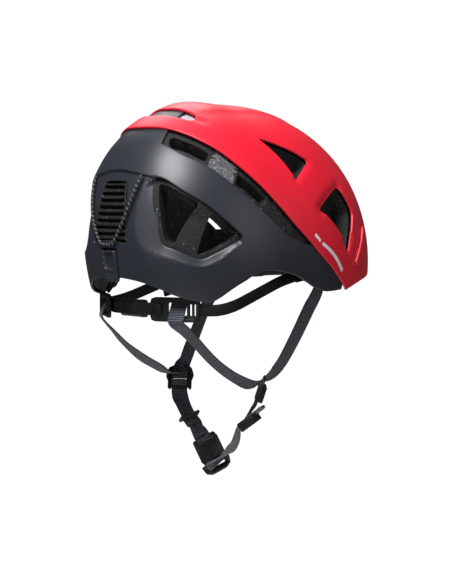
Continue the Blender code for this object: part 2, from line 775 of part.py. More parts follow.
def hanger(side, prefix):
    """The V-shaped strap of plastic that holds a housing up inside the liner."""
    frame = housing_frame(side)
    foot = frame @ Vector((-6 * MM, HOUSING_HEIGHT / 2 + 1.8 * MM, 2.4 * MM))
    top = world(side * 32, 82.5, -14)
    upright = (top - foot).normalized()
    across = upright.cross(Vector((side * 0.35, 0.93, 0.0)))
    plane = make_frame(foot, across, across.cross(upright))
    length = (top - foot).length
    if (plane @ Vector((0, 1, 0)) - plane.translation).dot(upright) < 0:
        plane = plane @ Matrix.Diagonal((1, -1, 1, 1))
    outline = [(-4.5 * MM, 0), (4.5 * MM, 0), (11 * MM, length), (-9 * MM, length)]
    window = [(-1.6 * MM, 4.2 * MM), (1.6 * MM, 4.2 * MM), (6.8 * MM, length - 3.5 * MM),
              (-4.8 * MM, length - 3.5 * MM)]
    mirrored_plate(prefix + "_hanger", rounded_polygon(outline, 1.2 * MM),
                   [rounded_polygon(window, 1.0 * MM)], 1.4 * MM, plane, "black_plastic", -0.7 * MM)


# ---------------------------------------------------------------- webbing

FRONT_STRAPS = {
    RIGHT: [((-68, -63, -37), 10), ((-66, -52, -57), 5), ((-63, -39, -81), 8), ((-60, -27, -101), 14),
            ((-58, -17, -111.5), 26)],
    LEFT: [((70, -63, -37), -8), ((66, -45, -57), 8), ((61, -27.5, -81), 7), ((57.5, -15, -100), 2),
           ((56.5, -9, -110.5), 0)],
}
REAR_STRAPS = {
    RIGHT: [((-50.0, 75, -72), -76), ((-50.5, 62, -84), -82), ((-51, 49, -96), -80),
            ((-53, 35, -107), -74), ((-55, 21, -115.3), -66), ((-56.5, 9.0, -120.5), -57)],
    LEFT: [((47.0, 80.0, -77.0), 76), ((46.8, 68, -88), 86), ((49, 47, -102), 102),
           ((52, 29, -111.0), 104), ((54.5, 14, -118.5), 94)],
}
DIVIDERS = {RIGHT: (-56.5, -3.5, -125.5), LEFT: (56.5, -3.0, -125.0)}


def front_strap(side, prefix):
    """Front webbing from its anchor in the liner down to the divider."""
    top = on_dome(54, 93, -35 * MM, side)
    upper = on_dome(52, 103, -31 * MM, side)
    stations = [(top, 6 * -side), (upper, 8 * -side)]
    stations += [(world(*p), roll) for p, roll in FRONT_STRAPS[side]]
    ribbon(prefix + "_front_strap", stations, WEBBING_WIDTH, WEBBING_THICKNESS, side, "webbing")


def rear_strap(side, prefix):
    """Rear webbing from the rim, out through the housing's window, to the divider."""
    frame = housing_frame(side)
    along = frame.to_3x3().col[0]
    low = -HOUSING_HEIGHT / 2
    threaded = [(7.0 * MM, -1.8 * MM), (2.5 * MM, 0.8 * MM), (-1.5 * MM, 3.6 * MM),
                (-5.0 * MM, 5.4 * MM), (low - 1.0 * MM, 6.2 * MM)]
    stations = [(frame @ Vector((STRAP_PLACE, y, z)), along) for y, z in threaded]
    stations += [(world(*p), roll) for p, roll in REAR_STRAPS[side]]
    ribbon(prefix + "_rear_strap", stations, WEBBING_WIDTH, WEBBING_THICKNESS, side, "webbing")


def divider_frame(side):
    """Return a divider's frame: X along its top edge, Y up, Z out of the head."""
    outward = Vector((side * 0.62, -0.72, -0.31))
    frame = make_frame(world(*DIVIDERS[side]), (0.72, side * 0.62, 0.0), outward)
    if (frame @ Vector((0, 1, 0)) - frame.translation).z < 0:
        frame = frame @ Matrix.Diagonal((1, -1, 1, 1))
    return frame


def divider(side, prefix):
    """The six-sided plate where the front and rear webbing meet."""
    frame = divider_frame(side)
    half = DIVIDER_SIZE / 2
    outline = [(-0.95 * half, 0.15 * half), (-0.5 * half, -0.8 * half), (0.5 * half, -0.8 * half),
               (0.95 * half, 0.1 * half), (0.75 * half, 0.7 * half), (0, 0.95 * half),
               (-0.75 * half, 0.75 * half)]
    window = [(-0.45 * half, 0.22 * half), (0.5 * half, 0.22 * half), (0.1 * half, 0.68 * half)]
    hinge_pocket = rectangle(13 * MM, 7.6 * MM, 1.0 * MM, (0, -4.4 * MM))
    mirrored_plate(prefix + "_divider", rounded_polygon(outline, 2.5 * MM),
                   [rounded_polygon(window, 1.2 * MM), hinge_pocket], DIVIDER_WALL, frame,
                   "black_plastic", -DIVIDER_WALL / 2)


def divider_cam(side, prefix):
    """The toothed flap that clamps the webbing in a divider."""
    frame = divider_frame(side)
    outline = rectangle(12.2 * MM, 6.8 * MM, 0.9 * MM, (0, -4.4 * MM))
    cam = mirrored_plate(prefix + "_divider_cam", outline, [], CAM_WALL, frame, "black_plastic",
                         -0.6 * MM)
    set_origin(cam, frame @ Vector((0, -2.2 * MM, 0.4 * MM)))


# ---------------------------------------------------------------- chin strap

BUCKLE_START = (22, -4, -178)
BUCKLE_AXIS = (-0.66, 0.05, -0.75)
BUCKLE_ACROSS = (-0.62, -0.60, 0.50)
ADJUSTER_PLACE = (-49.8, 4.5, -153.1)
ADJUSTER_AXIS = (0.68, 0.42, -0.60)
ADJUSTER_ACROSS = (-0.55, 0.83, -0.05)


def buckle_frame():
    """Return the buckle's frame: X across, Y from the strap loop to the tongue, Z out."""
    axis = Vector(BUCKLE_AXIS).normalized()
    across = Vector(BUCKLE_ACROSS)
    across = (across - axis * across.dot(axis)).normalized()
    frame = Matrix((across, axis, across.cross(axis))).transposed().to_4x4()
    frame.translation = world(*BUCKLE_START)
    return frame


def buckle_socket():
    """The buckle half with a strap loop and a socket for the prongs."""
    frame = buckle_frame()
    half = BUCKLE_WIDTH / 2
    length = 7.5 * MM + SOCKET_LENGTH
    outline = [(-half, 0), (half, 0), (half, length), (-half, length)]
    slot = rectangle(STRAP_WINDOW, 3.4 * MM, 0.8 * MM, (0, 4.2 * MM))
    socket = plate("buckle_socket", rounded_polygon(outline, 2.0 * MM), [slot], BUCKLE_DEPTH,
                   frame, "black_plastic", -BUCKLE_DEPTH / 2)
    cavity = rectangle(BUCKLE_WIDTH - 2 * BUCKLE_WALL, 2 * SOCKET_LENGTH - 3 * MM, 0.5 * MM,
                       (0, length))
    cutter = plate("socket_cavity", cavity, [], BUCKLE_DEPTH - 2 * BUCKLE_WALL, frame,
                   "black_plastic", -BUCKLE_DEPTH / 2 + BUCKLE_WALL)
    cut(socket, cutter)
    sides = rectangle(BUCKLE_WIDTH + 6 * MM, SOCKET_LENGTH, 0.5 * MM,
                      (0, length - SOCKET_LENGTH / 2 + 5.5 * MM))
    side_cutter = plate("socket_sides", sides, [], BUCKLE_DEPTH - 2 * BUCKLE_WALL - 0.2 * MM,
                        frame, "black_plastic", -BUCKLE_DEPTH / 2 + BUCKLE_WALL + 0.1 * MM)
    cut(socket, side_cutter)


def buckle_tongue():
    """The buckle half with the strap bar and the guide between the prongs."""
    frame = buckle_frame()
    start = 7.5 * MM + SOCKET_LENGTH + 0.5 * MM
    half = TONGUE_WIDTH / 2
    depth = 11.5 * MM
    outline = [(-half, start + 1.5 * MM), (-2.6 * MM, start), (-2.6 * MM, start - 13 * MM),
               (2.6 * MM, start - 13 * MM), (2.6 * MM, start), (half, start + 1.5 * MM),
               (half - 1.5 * MM, start + depth - 3 * MM), (0.5 * half, start + depth),
               (-0.5 * half, start + depth), (-half + 1.5 * MM, start + depth - 3 * MM)]
    slot = rectangle(STRAP_WINDOW, 3.4 * MM, 0.8 * MM, (0, start + 5.0 * MM))
    tongue = plate("buckle_tongue", rounded_polygon(outline, 0.8 * MM), [slot], 4.2 * MM, frame,
                   "black_plastic", -2.1 * MM)
    set_origin(tongue, frame @ Vector((0, start, 0)))


def prong(end, name):
    """One of the two sprung prongs, which is squeezed inwards to open the buckle."""
    frame = buckle_frame()
    top = 7.5 * MM + SOCKET_LENGTH + 0.2 * MM
    centre = 6.6 * MM
    inner = centre - PRONG_WIDTH / 2
    outer = centre + PRONG_WIDTH / 2
    outline = [(inner, top), (inner, top - PRONG_LENGTH), (centre, top - PRONG_LENGTH - 0.8 * MM),
               (outer, top - PRONG_LENGTH + 1.5 * MM), (outer + 0.8 * MM, top - 7 * MM),
               (outer + 0.3 * MM, top)]
    outline = np.array([(x * end, y) for x, y in outline])
    piece = plate(name, rounded_polygon(outline, 0.6 * MM), [], 3.8 * MM, frame, "black_plastic",
                  -1.9 * MM)
    set_origin(piece, frame @ Vector((end * centre, top, 0)))


def left_chin_strap():
    """The webbing from the left divider to the buckle socket's loop."""
    frame = buckle_frame()
    front = frame @ Vector((0, 2.0 * MM, -BUCKLE_DEPTH / 2 - 2.2 * MM))
    stations = [(world(54.6, -1.2, -139.8), -44), (world(49.5, -1, -148.5), -14),
                (world(42, -1.5, -158.5), -8), (world(34.5, -3.0, -166.5), -10),
                (front, frame.to_3x3().col[0])]
    ribbon("left_chin_strap", stations, WEBBING_WIDTH, WEBBING_THICKNESS, LEFT, "webbing",
           4 * MM)


KEEPER_PLACE = (41.0, -1.7, -159.6)


def keeper_frame():
    """Return the keeper's frame: X across the strap, Z along it."""
    along = (world(34.5, -3.0, -166.5) - world(49.5, -1, -148.5)).normalized()
    return make_frame(world(*KEEPER_PLACE), (-0.11, -0.96, 0.24), along)


def strap_keeper():
    """The elastic loop that holds the folded strap end, free to slide."""
    outline = rectangle(WEBBING_WIDTH + 6.0 * MM, 8.4 * MM, 1.4 * MM)
    hole = rectangle(WEBBING_WIDTH + 3.6 * MM, 6.0 * MM, 0.6 * MM)
    keeper = plate("strap_keeper", outline, [hole], 2.4 * MM, keeper_frame(), "elastic",
                   -1.2 * MM)
    set_origin(keeper, world(*KEEPER_PLACE))


def adjuster_frame():
    """Return the strap adjuster's frame: X across, Y down along the strap, Z out."""
    axis = Vector(ADJUSTER_AXIS).normalized()
    across = Vector(ADJUSTER_ACROSS)
    across = (across - axis * across.dot(axis)).normalized()
    frame = Matrix((across, axis, across.cross(axis))).transposed().to_4x4()
    frame.translation = world(*ADJUSTER_PLACE)
    return frame


def strap_adjuster():
    """The ladder lock that sets the chin strap's length."""
    outline = rectangle(20 * MM, 17 * MM, 2.5 * MM)
    slots = [rectangle(STRAP_WINDOW - 0.8 * MM, 3.0 * MM, 0.8 * MM, (0, y * MM))
             for y in (-4.6, 1.0, 5.4)]
    adjuster = plate("strap_adjuster", outline, slots, 3.2 * MM, adjuster_frame(),
                     "black_plastic", -1.6 * MM)
    set_origin(adjuster, world(*ADJUSTER_PLACE))


def right_strap_link():
    """The short webbing between the right divider and the strap adjuster."""
    frame = adjuster_frame()
    top = divider_frame(RIGHT) @ Vector((0, -DIVIDER_SIZE * 0.4 - 1.6 * MM, 0))
    bottom = frame @ Vector((0, 1.0 * MM, -2.7 * MM))
    across = frame.to_3x3().col[0]
    ribbon("right_strap_link", [(top, across), ((top + bottom) / 2, across), (bottom, across)],
           WEBBING_WIDTH - 1 * MM, WEBBING_THICKNESS, RIGHT, "webbing", 3 * MM)


def right_chin_strap():
    """The webbing from the strap adjuster down to the buckle tongue."""
    top = adjuster_frame() @ Vector((0, 12.0 * MM, 0.2 * MM))
    tongue = 7.5 * MM + SOCKET_LENGTH + 3.5 * MM
    bottom = buckle_frame() @ Vector((0, tongue, -6.8 * MM))
    stations = [(top, adjuster_frame().to_3x3().col[0]), (world(-33.5, 7, -174), 10),
                (world(-22, 7.0, -187), 0), (bottom, buckle_frame().to_3x3().col[0])]
    ribbon("right_chin_strap", stations, WEBBING_WIDTH, WEBBING_THICKNESS, RIGHT, "webbing",
           4 * MM)


def strap_tail():
    """The folded free end of the chin strap above the adjuster."""
    frame = adjuster_frame()
    start = frame @ Vector((0, -6.5 * MM, -3.2 * MM))
    end = frame @ Vector((0, -18.0 * MM, -3.6 * MM))
    across = frame.to_3x3().col[0]
    ribbon("strap_tail", [(start, across), ((start + end) / 2, across), (end, across)], WEBBING_WIDTH,
           2 * WEBBING_THICKNESS, RIGHT, "webbing", 5 * MM)


def strap_anchor(azimuth, polar, side, name):
    """A plastic anchor that pins webbing to the inside of the liner."""
    frame = make_frame(on_dome(azimuth, polar, 0.0, side), (0, 0, 1),
                       Vector(dome_normal(*disc(azimuth, polar, side))))
    place = np.array([disc(azimuth, polar, side)])
    base = float(foam_inner(place)[0]) - 3.0 * MM
    outline = rectangle(9 * MM, 18 * MM, 2 * MM)
    plate(name, outline, [], 2.0 * MM, frame, "black_plastic", base)


# ---------------------------------------------------------------- assembly

def build():
    """Build every part of the helmet."""
    clear_scene()
    upper_shell()
    lower_shell()
    foam_liner()
    crown_puck()
    rear_hook()
    elastic_cord()
    rear_band()
    nape_pad()
    front_headband()
    brow_pad()
    crown_pad()
    for side, prefix in ((RIGHT, "right"), (LEFT, "left")):
        lamp_clip(side, prefix)
        adjuster_housing(side, prefix)
        release_button(side, prefix)
        side_arm(side, prefix)
        hanger(side, prefix)
        front_strap(side, prefix)
        rear_strap(side, prefix)
        divider(side, prefix)
        divider_cam(side, prefix)
        strap_anchor(55, 85.5, side, prefix + "_front_strap_anchor")
    buckle_socket()
    buckle_tongue()
    prong(1, "front_prong")
    prong(-1, "rear_prong")
    left_chin_strap()
    strap_keeper()
    strap_adjuster()
    right_strap_link()
    right_chin_strap()
    strap_tail()


build()
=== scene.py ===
"""Dress the climbing helmet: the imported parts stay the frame, and each shell,
strap, pad and fitting gets its finished shape and its finish here.

Places on the shells are an azimuth, counted from the front (0) over the side
(90) to the rear (180), and a polar angle counted down from the crown, both in
degrees. Front is -Y, the wearer's left is +X and up is +Z. Metres throughout.
"""
from __future__ import annotations

import json
import logging
import math
from dataclasses import dataclass, field
from enum import Enum
from typing import Callable, Iterable, Sequence

import bpy
import numpy as np
from mathutils import Matrix, Vector
from mathutils.geometry import delaunay_2d_cdt
from mathutils.kdtree import KDTree

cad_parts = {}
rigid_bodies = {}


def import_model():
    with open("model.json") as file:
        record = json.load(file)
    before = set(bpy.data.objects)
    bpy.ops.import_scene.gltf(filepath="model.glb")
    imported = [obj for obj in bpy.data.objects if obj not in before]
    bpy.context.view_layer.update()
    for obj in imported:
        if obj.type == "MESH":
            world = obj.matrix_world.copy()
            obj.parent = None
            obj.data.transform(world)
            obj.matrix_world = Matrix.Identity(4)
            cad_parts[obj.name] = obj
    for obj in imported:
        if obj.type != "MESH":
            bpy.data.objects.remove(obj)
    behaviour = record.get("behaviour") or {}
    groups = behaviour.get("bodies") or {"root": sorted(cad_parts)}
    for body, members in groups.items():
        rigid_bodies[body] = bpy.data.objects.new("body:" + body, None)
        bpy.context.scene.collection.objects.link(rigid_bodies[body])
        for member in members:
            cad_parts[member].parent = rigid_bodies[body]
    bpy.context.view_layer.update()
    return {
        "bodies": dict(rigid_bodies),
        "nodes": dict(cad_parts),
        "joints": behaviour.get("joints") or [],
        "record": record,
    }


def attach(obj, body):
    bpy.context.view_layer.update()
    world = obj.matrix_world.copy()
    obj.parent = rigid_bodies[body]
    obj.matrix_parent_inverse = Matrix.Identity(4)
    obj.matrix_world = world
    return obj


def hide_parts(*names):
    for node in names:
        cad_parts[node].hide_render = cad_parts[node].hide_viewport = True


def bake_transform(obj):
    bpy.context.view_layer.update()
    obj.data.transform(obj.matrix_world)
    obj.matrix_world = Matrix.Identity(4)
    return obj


LOG = logging.getLogger("helmet")
MM = 0.001
Places = np.ndarray
Relief = Callable[[Places, "list[np.ndarray]"], np.ndarray]


class Side(Enum):
    """The wearer's side that a piece is on."""

    RIGHT = -1
    LEFT = 1

    @property
    def prefix(self) -> str:
        """The word that starts the names of this side's pieces."""
        return self.name.lower()


class Body(Enum):
    """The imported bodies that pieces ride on."""

    HELMET = "helmet"
    HOOK = "rear_hook"
    BAND = "rear_band"
    TONGUE = "buckle_tongue"
    FRONT_PRONG = "front_prong"
    REAR_PRONG = "rear_prong"
    ADJUSTER = "strap_adjuster"
    KEEPER = "strap_keeper"


# ------------------------------------------------------------------ materials

class Socket:
    """One value in a material's nodes, with arithmetic that adds Math nodes."""

    def __init__(self, paint: "Paint", out: bpy.types.NodeSocket) -> None:
        """Keep the paint and the output socket."""
        self.paint = paint
        self.out = out

    def math(self, operation: str, *others: "Socket | float", clamp: bool = False) -> "Socket":
        """Return a Math node's result for this value and the others."""
        node = self.paint.node("ShaderNodeMath", operation=operation, use_clamp=clamp)
        for slot, value in zip(node.inputs, (self, *others)):
            self.paint.join(value, slot)
        return Socket(self.paint, node.outputs[0])

    def __add__(self, other: "Socket | float") -> "Socket":
        """Return the sum."""
        return self.math("ADD", other)

    def __sub__(self, other: "Socket | float") -> "Socket":
        """Return the difference."""
        return self.math("SUBTRACT", other)

    def __mul__(self, other: "Socket | float") -> "Socket":
        """Return the product."""
        return self.math("MULTIPLY", other)

    __radd__ = __add__
    __rmul__ = __mul__

    def sine(self) -> "Socket":
        """Return the sine."""
        return self.math("SINE")

    def size(self) -> "Socket":
        """Return the absolute value."""
        return self.math("ABSOLUTE")

    def ramp(self, low: float, high: float) -> "Socket":
        """Return 0 below low and 1 above high, smoothly between.

        Args:
            low: The value where the ramp starts.
            high: The value where it ends.

        Returns:
            The ramp's value, from 0 to 1.
        """
        node = self.paint.node("ShaderNodeMapRange", interpolation_type="SMOOTHSTEP")
        for slot, value in zip(node.inputs, (self, low, high, 0.0, 1.0)):
            self.paint.join(value, slot)
        return Socket(self.paint, node.outputs[0])


class Paint:
    """A procedural material under construction."""

    def __init__(self, name: str) -> None:
        """Start an empty Principled material."""
        self.material = bpy.data.materials.new(name)
        self.material.use_nodes = True
        self.tree = self.material.node_tree
        self.shader = self.tree.nodes["Principled BSDF"]
        self.place = self.node("ShaderNodeTexCoord")

    def node(self, kind: str, **settings: object) -> bpy.types.Node:
        """Add a node of a kind with its settings and return it."""
        node = self.tree.nodes.new(kind)
        for key, value in settings.items():
            setattr(node, key, value)
        return node

    def join(self, value: "Socket | bpy.types.NodeSocket | float | tuple",
             slot: bpy.types.NodeSocket) -> None:
        """Link a socket to a slot, or set the slot to a number."""
        if isinstance(value, Socket):
            value = value.out
        if isinstance(value, bpy.types.NodeSocket):
            self.tree.links.new(value, slot)
        else:
            slot.default_value = value

    def coords(self, stretch: Sequence[float] = (1, 1, 1)) -> bpy.types.NodeSocket:
        """Return Object coordinates, stretched along each axis."""
        mapping = self.node("ShaderNodeMapping")
        self.join(self.place.outputs["Object"], mapping.inputs["Vector"])
        mapping.inputs["Scale"].default_value = stretch
        return mapping.outputs["Vector"]

    def along(self) -> tuple[Socket, Socket]:
        """Return the UV map's two values: across a strap and along it, in metres."""
        parts = self.node("ShaderNodeSeparateXYZ")
        self.join(self.place.outputs["UV"], parts.inputs[0])
        return Socket(self, parts.outputs[0]), Socket(self, parts.outputs[1])

    def noise(self, scale: float, detail: float = 2.0, stretch: Sequence[float] = (1, 1, 1)) -> Socket:
        """Return smooth noise from 0 to 1 on Object coordinates."""
        node = self.node("ShaderNodeTexNoise")
        self.join(self.coords(stretch), node.inputs["Vector"])
        node.inputs["Scale"].default_value = scale
        node.inputs["Detail"].default_value = detail
        return Socket(self, node.outputs["Fac"])

    def cells(self, scale: float, feature: str = "F1") -> tuple[Socket, bpy.types.NodeSocket]:
        """Return the distance and the colour of cells on Object coordinates."""
        node = self.node("ShaderNodeTexVoronoi", feature=feature)
        self.join(self.coords(), node.inputs["Vector"])
        node.inputs["Scale"].default_value = scale
        return Socket(self, node.outputs["Distance"]), node.outputs.get("Color")

    def blend(self, amount: Socket, low: "Sequence[float] | bpy.types.NodeSocket",
              high: Sequence[float]) -> bpy.types.NodeSocket:
        """Return a colour between two by an amount."""
        node = self.node("ShaderNodeMix", data_type="RGBA")
        self.join(amount, node.inputs["Factor"])
        for slot, value in ((node.inputs[6], low), (node.inputs[7], high)):
            self.join((*value, 1.0) if isinstance(value, (tuple, list)) else value, slot)
        return node.outputs[2]

    def bump(self, height: Socket, strength: float, depth: float) -> None:
        """Drive the shader's normal from a height.

        Args:
            height: The height, from 0 to 1.
            strength: How strongly it shows.
            depth: The depth of a full step, in metres.
        """
        node = self.node("ShaderNodeBump")
        node.inputs["Strength"].default_value = strength
        node.inputs["Distance"].default_value = depth
        self.join(height, node.inputs["Height"])
        self.join(node.outputs["Normal"], self.shader.inputs["Normal"])

    def set(self, **values: object) -> None:
        """Set or link the shader's sockets, named with underscores for spaces."""
        for key, value in values.items():
            slot = self.shader.inputs[key.replace("_", " ")]
            if isinstance(value, tuple) and len(value) == 3:
                value = (*value, 1.0)
            self.join(value, slot)


@dataclass(frozen=True)
class MouldedPlastic:
    """Injection-moulded plastic with a fine spark-eroded grain."""

    name: str
    slot: str
    colour: tuple[float, float, float]
    shade: tuple[float, float, float]
    roughness: float = 0.42
    grain: float = 2600.0
    relief: float = 0.12
    coat: float = 0.0
    specular: float = 0.5

    def make(self) -> bpy.types.Material:
        """Return the material."""
        paint = Paint(self.name)
        cloudy = paint.noise(18.0, 3.0)
        fine = paint.noise(self.grain, 1.0)
        scuff = paint.noise(210.0, 6.0, (1, 1, 3.0)).ramp(0.62, 0.78)
        paint.set(Base_Color=paint.blend(cloudy.ramp(0.3, 0.7), self.shade, self.colour),
                  Roughness=cloudy * 0.08 + fine * 0.06 + scuff * 0.05 + (self.roughness - 0.07),
                  Coat_Weight=self.coat, Coat_Roughness=0.32, Specular_IOR_Level=self.specular)
        paint.bump(fine, self.relief, 0.00005)
        return paint.material


@dataclass(frozen=True)
class BeadFoam:
    """Expanded foam whose beads show as flattened cells with bright seams, and with painted glints: a bright colour
    at some bead middles, a painted highlight.
    """

    name: str
    slot: str
    colour: tuple[float, float, float]
    seam: tuple[float, float, float]
    glint: tuple[float, float, float]
    bead: float = 430.0
    glints: float = 0.9

    def make(self) -> bpy.types.Material:
        """Return the material."""
        paint = Paint(self.name)
        middle, tint = paint.cells(self.bead)
        edge, _ = paint.cells(self.bead, "DISTANCE_TO_EDGE")
        shade = paint.node("ShaderNodeSeparateColor")
        paint.join(tint, shade.inputs[0])
        lot = Socket(paint, shade.outputs[0])
        patches = paint.noise(60.0, 3.0)
        body = paint.blend(lot * 0.7 + patches * 0.3, self.colour, self.seam)
        # Painted glints: some cells get the glint colour at their middles, a painted highlight of light catching the
        # beads.
        spark = lot.ramp(self.glints, 1.0) * middle.ramp(0.42, 0.1)
        paint.set(Base_Color=paint.blend(spark, body, self.glint),
                  Roughness=lot * 0.25 + 0.55, Specular_IOR_Level=0.35)
        paint.bump(edge.ramp(0.0, 0.14) + lot * 0.3, 0.55, 0.0004)
        return paint.material


@dataclass(frozen=True)
class WovenWebbing:
    """Narrow polyester webbing with cross ribs and tight selvedges; its rib valleys are painted darker, as painted
    shade.
    """

    name: str
    slot: str
    thread: tuple[float, float, float]
    valley: tuple[float, float, float]
    width: float = 0.015
    pitch: float = 0.0020
    yarn: float = 0.00085

    def make(self) -> bpy.types.Material:
        """Return the material."""
        paint = Paint(self.name)
        across, length = paint.along()
        rib = (length * (math.tau / self.pitch)).sine()
        yarn = (across * (math.tau / self.yarn)).sine()
        border = across.size().ramp(0.40 * self.width, 0.47 * self.width)
        weave = rib * 0.46 + yarn * 0.06 + 0.5
        worn = paint.noise(420.0, 4.0)
        # The colour runs from the valley colour to the thread colour across the ribs: the darker valleys are painted
        # shade between the ribs; the worn noise and the darker selvedges are in the colour too.
        tone = weave * 0.85 + worn * 0.18 + border * -0.25
        paint.set(Base_Color=paint.blend(tone.ramp(0.15, 0.95), self.valley, self.thread),
                  Roughness=0.78, Sheen_Weight=0.25, Sheen_Roughness=0.5, Specular_IOR_Level=0.3)
        paint.bump(weave + border * 0.3, 0.7, 0.0003)
        return paint.material


@dataclass(frozen=True)
class FleckedCord:
    """Round elastic in a braided cover with pale flecks."""

    name: str
    slot: str
    colour: tuple[float, float, float]
    fleck: tuple[float, float, float]
    fleck_pitch: float = 0.0042
    braid_pitch: float = 0.0011

    def make(self) -> bpy.types.Material:
        """Return the material."""
        paint = Paint(self.name)
        around, length = paint.along()
        spiral = (length * (math.tau / self.fleck_pitch) + around * math.tau).sine()
        braid = (length * (math.tau / self.braid_pitch) + around * (2 * math.tau)).sine()
        spot = spiral.ramp(0.62, 0.86) * braid.ramp(-0.4, 0.4)
        paint.set(Base_Color=paint.blend(spot, self.colour, self.fleck), Roughness=0.75)
        paint.bump(braid * 0.5 + 0.5, 0.6, 0.0002)
        return paint.material


@dataclass(frozen=True)
class KnitPadding:
    """Brushed knit cover over soft foam."""

    name: str
    slot: str
    colour: tuple[float, float, float]
    shade: tuple[float, float, float]
    cell: float = 900.0

    def make(self) -> bpy.types.Material:
        """Return the material."""
        paint = Paint(self.name)
        loop, _ = paint.cells(self.cell)
        fuzz = paint.noise(2400.0, 2.0)
        paint.set(Base_Color=paint.blend(loop.ramp(0.1, 0.7) * 0.7 + fuzz * 0.3, self.colour, self.shade),
                  Roughness=0.95, Sheen_Weight=0.35, Sheen_Roughness=0.6, Specular_IOR_Level=0.2)
        paint.bump(loop * -0.6 + fuzz * 0.4, 0.6, 0.0005)
        return paint.material


RED = MouldedPlastic("red_satin_shell", "red_shell", (0.80, 0.012, 0.035), (0.74, 0.010, 0.030),
                     0.40, 1900.0, 0.06, 0.12)
GREY = MouldedPlastic("slate_satin_shell", "grey_shell", (0.021, 0.025, 0.033), (0.018, 0.022, 0.029),
                      0.40, 2100.0, 0.08, 0.05)
BLACK = MouldedPlastic("black_moulded_nylon", "black_plastic", (0.0085, 0.009, 0.0105), (0.006, 0.006, 0.0075),
                       0.44, 1500.0, 0.06, 0.0, 0.38)
ACETAL = MouldedPlastic("charcoal_acetal_buckle", "black_plastic", (0.0095, 0.010, 0.012), (0.007, 0.0072, 0.009),
                        0.46, 1500.0, 0.015, 0.0, 0.22)
PALE = MouldedPlastic("pale_pad_print", "red_shell", (0.80, 0.80, 0.82), (0.76, 0.76, 0.79), 0.5)
# Each foam's last colour is its painted glint, a painted highlight.
DARK_FOAM = BeadFoam("black_bead_foam", "foam", (0.006, 0.006, 0.0065), (0.022, 0.022, 0.024),
                     (0.30, 0.30, 0.30), 430.0, 0.90)
# A lighter copy of the black foam, put on the liner's bridge patch: painted light where light falls on the black
# foam.
LIT_FOAM_PAINT = BeadFoam("grey_bead_foam", "foam", (0.05, 0.05, 0.055), (0.17, 0.17, 0.18),
                     (0.5, 0.5, 0.5), 520.0, 0.7)
# Pale bead foam: the crown puck's own colour, and also put on the black liner beside the top slot as painted light
# where light falls on it.
PALE_FOAM_AND_PAINTED_LIGHT = BeadFoam("pale_bead_foam", "crown_foam", (0.33, 0.33, 0.37), (0.55, 0.55, 0.60),
                     (0.85, 0.85, 0.9), 620.0, 0.6)
WEBBING = WovenWebbing("slate_webbing", "webbing", (0.100, 0.112, 0.135), (0.016, 0.019, 0.024))
LIGHT_WEBBING = WovenWebbing("light_webbing_underside", "webbing", (0.21, 0.20, 0.235), (0.085, 0.08, 0.095))
CORD = FleckedCord("flecked_elastic", "elastic", (0.010, 0.010, 0.011), (0.32, 0.32, 0.32))
KNIT = KnitPadding("brushed_knit_pad", "padding", (0.020, 0.020, 0.023), (0.045, 0.045, 0.05))
KEEPER = KnitPadding("woven_keeper_elastic", "elastic", (0.010, 0.010, 0.012), (0.025, 0.025, 0.028), 1400.0)


class Paintbox:
    """Makes each finish once and gives it to pieces."""

    def __init__(self) -> None:
        """Start with no finish made."""
        self.made: dict[str, bpy.types.Material] = {}

    def coat(self, piece: bpy.types.Object, *finishes: object) -> None:
        """Put finishes on a piece, in the order of its material slots."""
        piece.data.materials.clear()
        for finish in finishes:
            if finish.name not in self.made:
                self.made[finish.name] = finish.make()
            piece.data.materials.append(self.made[finish.name])


# ------------------------------------------------------------------ the dome

